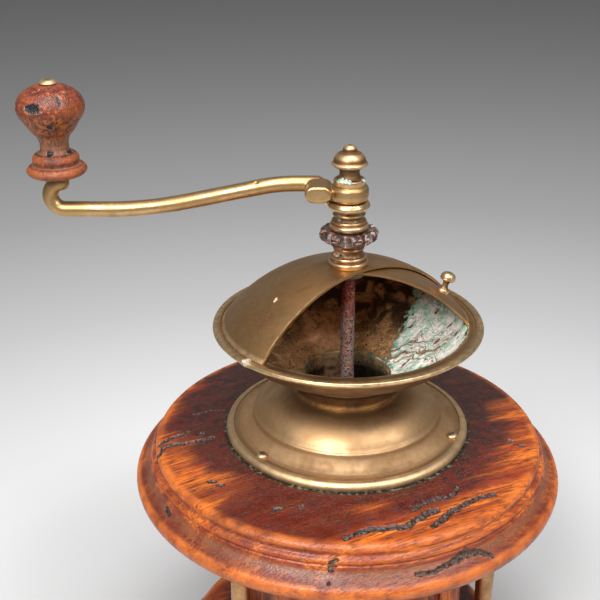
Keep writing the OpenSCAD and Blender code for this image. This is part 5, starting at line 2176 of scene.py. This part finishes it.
@dataclass(frozen=True)
class Floor(Finish):
    """Plain pale paper, with a painted shadow round the object and a painted pool of light around that."""

    reach: float = 9000

    def draw(self, g: Ground) -> dict[str, Value]:
        """Paper with a painted shadow round the object and a painted pool of light around it, greying with
        the distance from the object.

        Args:
            g: Ground that it is drawn on.

        Returns:
            Inputs of the surface shader.
        """
        tones = g.put("ValToRGB", g.put("Math", g.radius, self.reach, operation="DIVIDE"))
        ramp = tones.node.color_ramp
        # Painted shadow at the middle, a painted pool of light around it, greyer further out and pale again
        # at the edge.
        stops = (
            (0.0, "#a9a9a9"),
            (0.029, "#d4d4d4"),
            (0.055, "#bdbdbd"),
            (0.087, "#acacac"),
            (0.15, "#a6a6a6"),
            (0.35, "#9b9b9b"),
            (1, "#f5f5f5"),
        )
        while len(ramp.elements) < len(stops):
            ramp.elements.new(0.5)
        for element, (at, tone) in zip(ramp.elements, stops):
            element.position = at
            element.color = paint(tone)
        return {"Base Color": tones, "Roughness": 0.9, "Specular IOR Level": 0.2}


@dataclass
class Studio:
    """Floor, lamps and camera, in metres and degrees."""

    eye: Vector = field(default_factory=lambda: Vector((-0.1261, -0.3882, 0.4009)))
    heading: float = 75.01
    dip: float = 24.18
    roll: float = -0.45
    lens: float = 60
    middle: float = 0.18
    air: float = 0.4
    # Each lamp's name, azimuth from +X, elevation, distance, side and power in watts.
    lamps: tuple[tuple[str, float, float, float, float, float], ...] = (
        ("key_left", 228, 43, 1.25, 0.5, 16.5),
        ("key_right", 305, 43, 1.25, 0.5, 7.5),
        ("overhead", 270, 78, 1.2, 0.6, 11),
    )

    def camera(self) -> None:
        """Places the camera."""
        data = bpy.data.cameras.new("camera")
        data.lens = self.lens
        data.sensor_width = 36
        data.clip_start = 0.01
        data.clip_end = 50
        camera = bpy.data.objects.new("camera", data)
        turn = Matrix.Rotation(math.radians(self.heading - 90), 4, "Z")
        tilt = Matrix.Rotation(math.radians(90 - self.dip), 4, "X")
        lean = Matrix.Rotation(math.radians(self.roll), 4, "Z")
        camera.matrix_world = Matrix.Translation(self.eye) @ turn @ tilt @ lean
        bpy.context.scene.collection.objects.link(camera)
        bpy.context.scene.camera = camera

    def lamp(
        self, name: str, azimuth: float, height: float, distance: float, size: float, power: float
    ) -> None:
        """Soft square lamp that looks at the middle of the object.

        Args:
            name: Name of the lamp.
            azimuth: Direction from the object, in degrees from +X.
            height: Elevation, in degrees.
            distance: Distance from the middle of the object, in metres.
            size: Side of the lamp, in metres.
            power: Power in watts.
        """
        data = bpy.data.lights.new(name, "AREA")
        data.size = size
        data.energy = power
        lamp = bpy.data.objects.new(name, data)
        a, e = math.radians(azimuth), math.radians(height)
        away = Vector((math.cos(a) * math.cos(e), math.sin(a) * math.cos(e), math.sin(e)))
        lamp.location = Vector((0, 0, self.middle)) + away * distance
        lamp.rotation_euler = away.to_track_quat("Z", "Y").to_euler()
        bpy.context.scene.collection.objects.link(lamp)

    def build(self) -> None:
        """Sets up the whole studio."""
        self.camera()
        disc = {"vertices": 96, "radius": 9, "fill_type": "NGON", "location": (0, 0, 0)}
        floor = primitive(bpy.ops.mesh.primitive_circle_add, "floor", **disc)
        floor.data.materials.append(Floor("pale_paper").material())
        for lamp in self.lamps:
            self.lamp(*lamp)
        world = bpy.data.worlds.new("studio_air")
        world.use_nodes = True
        world.node_tree.nodes.clear()
        air = add(world.node_tree, "Background", "#d8d8d8", self.air)
        add(world.node_tree, "OutputWorld", air)
        bpy.context.scene.world = world
        bpy.context.scene.view_settings.view_transform = "Standard"


def main() -> None:
    """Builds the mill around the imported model."""
    logging.basicConfig(level=logging.INFO, format="%(message)s")
    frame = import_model()
    Studio().build()
    for assembly in (Plates, Case, Hopper, SpindleGroup, Crank, Grinder):
        assembly(frame).build()


if __name__ == "__main__":
    main()
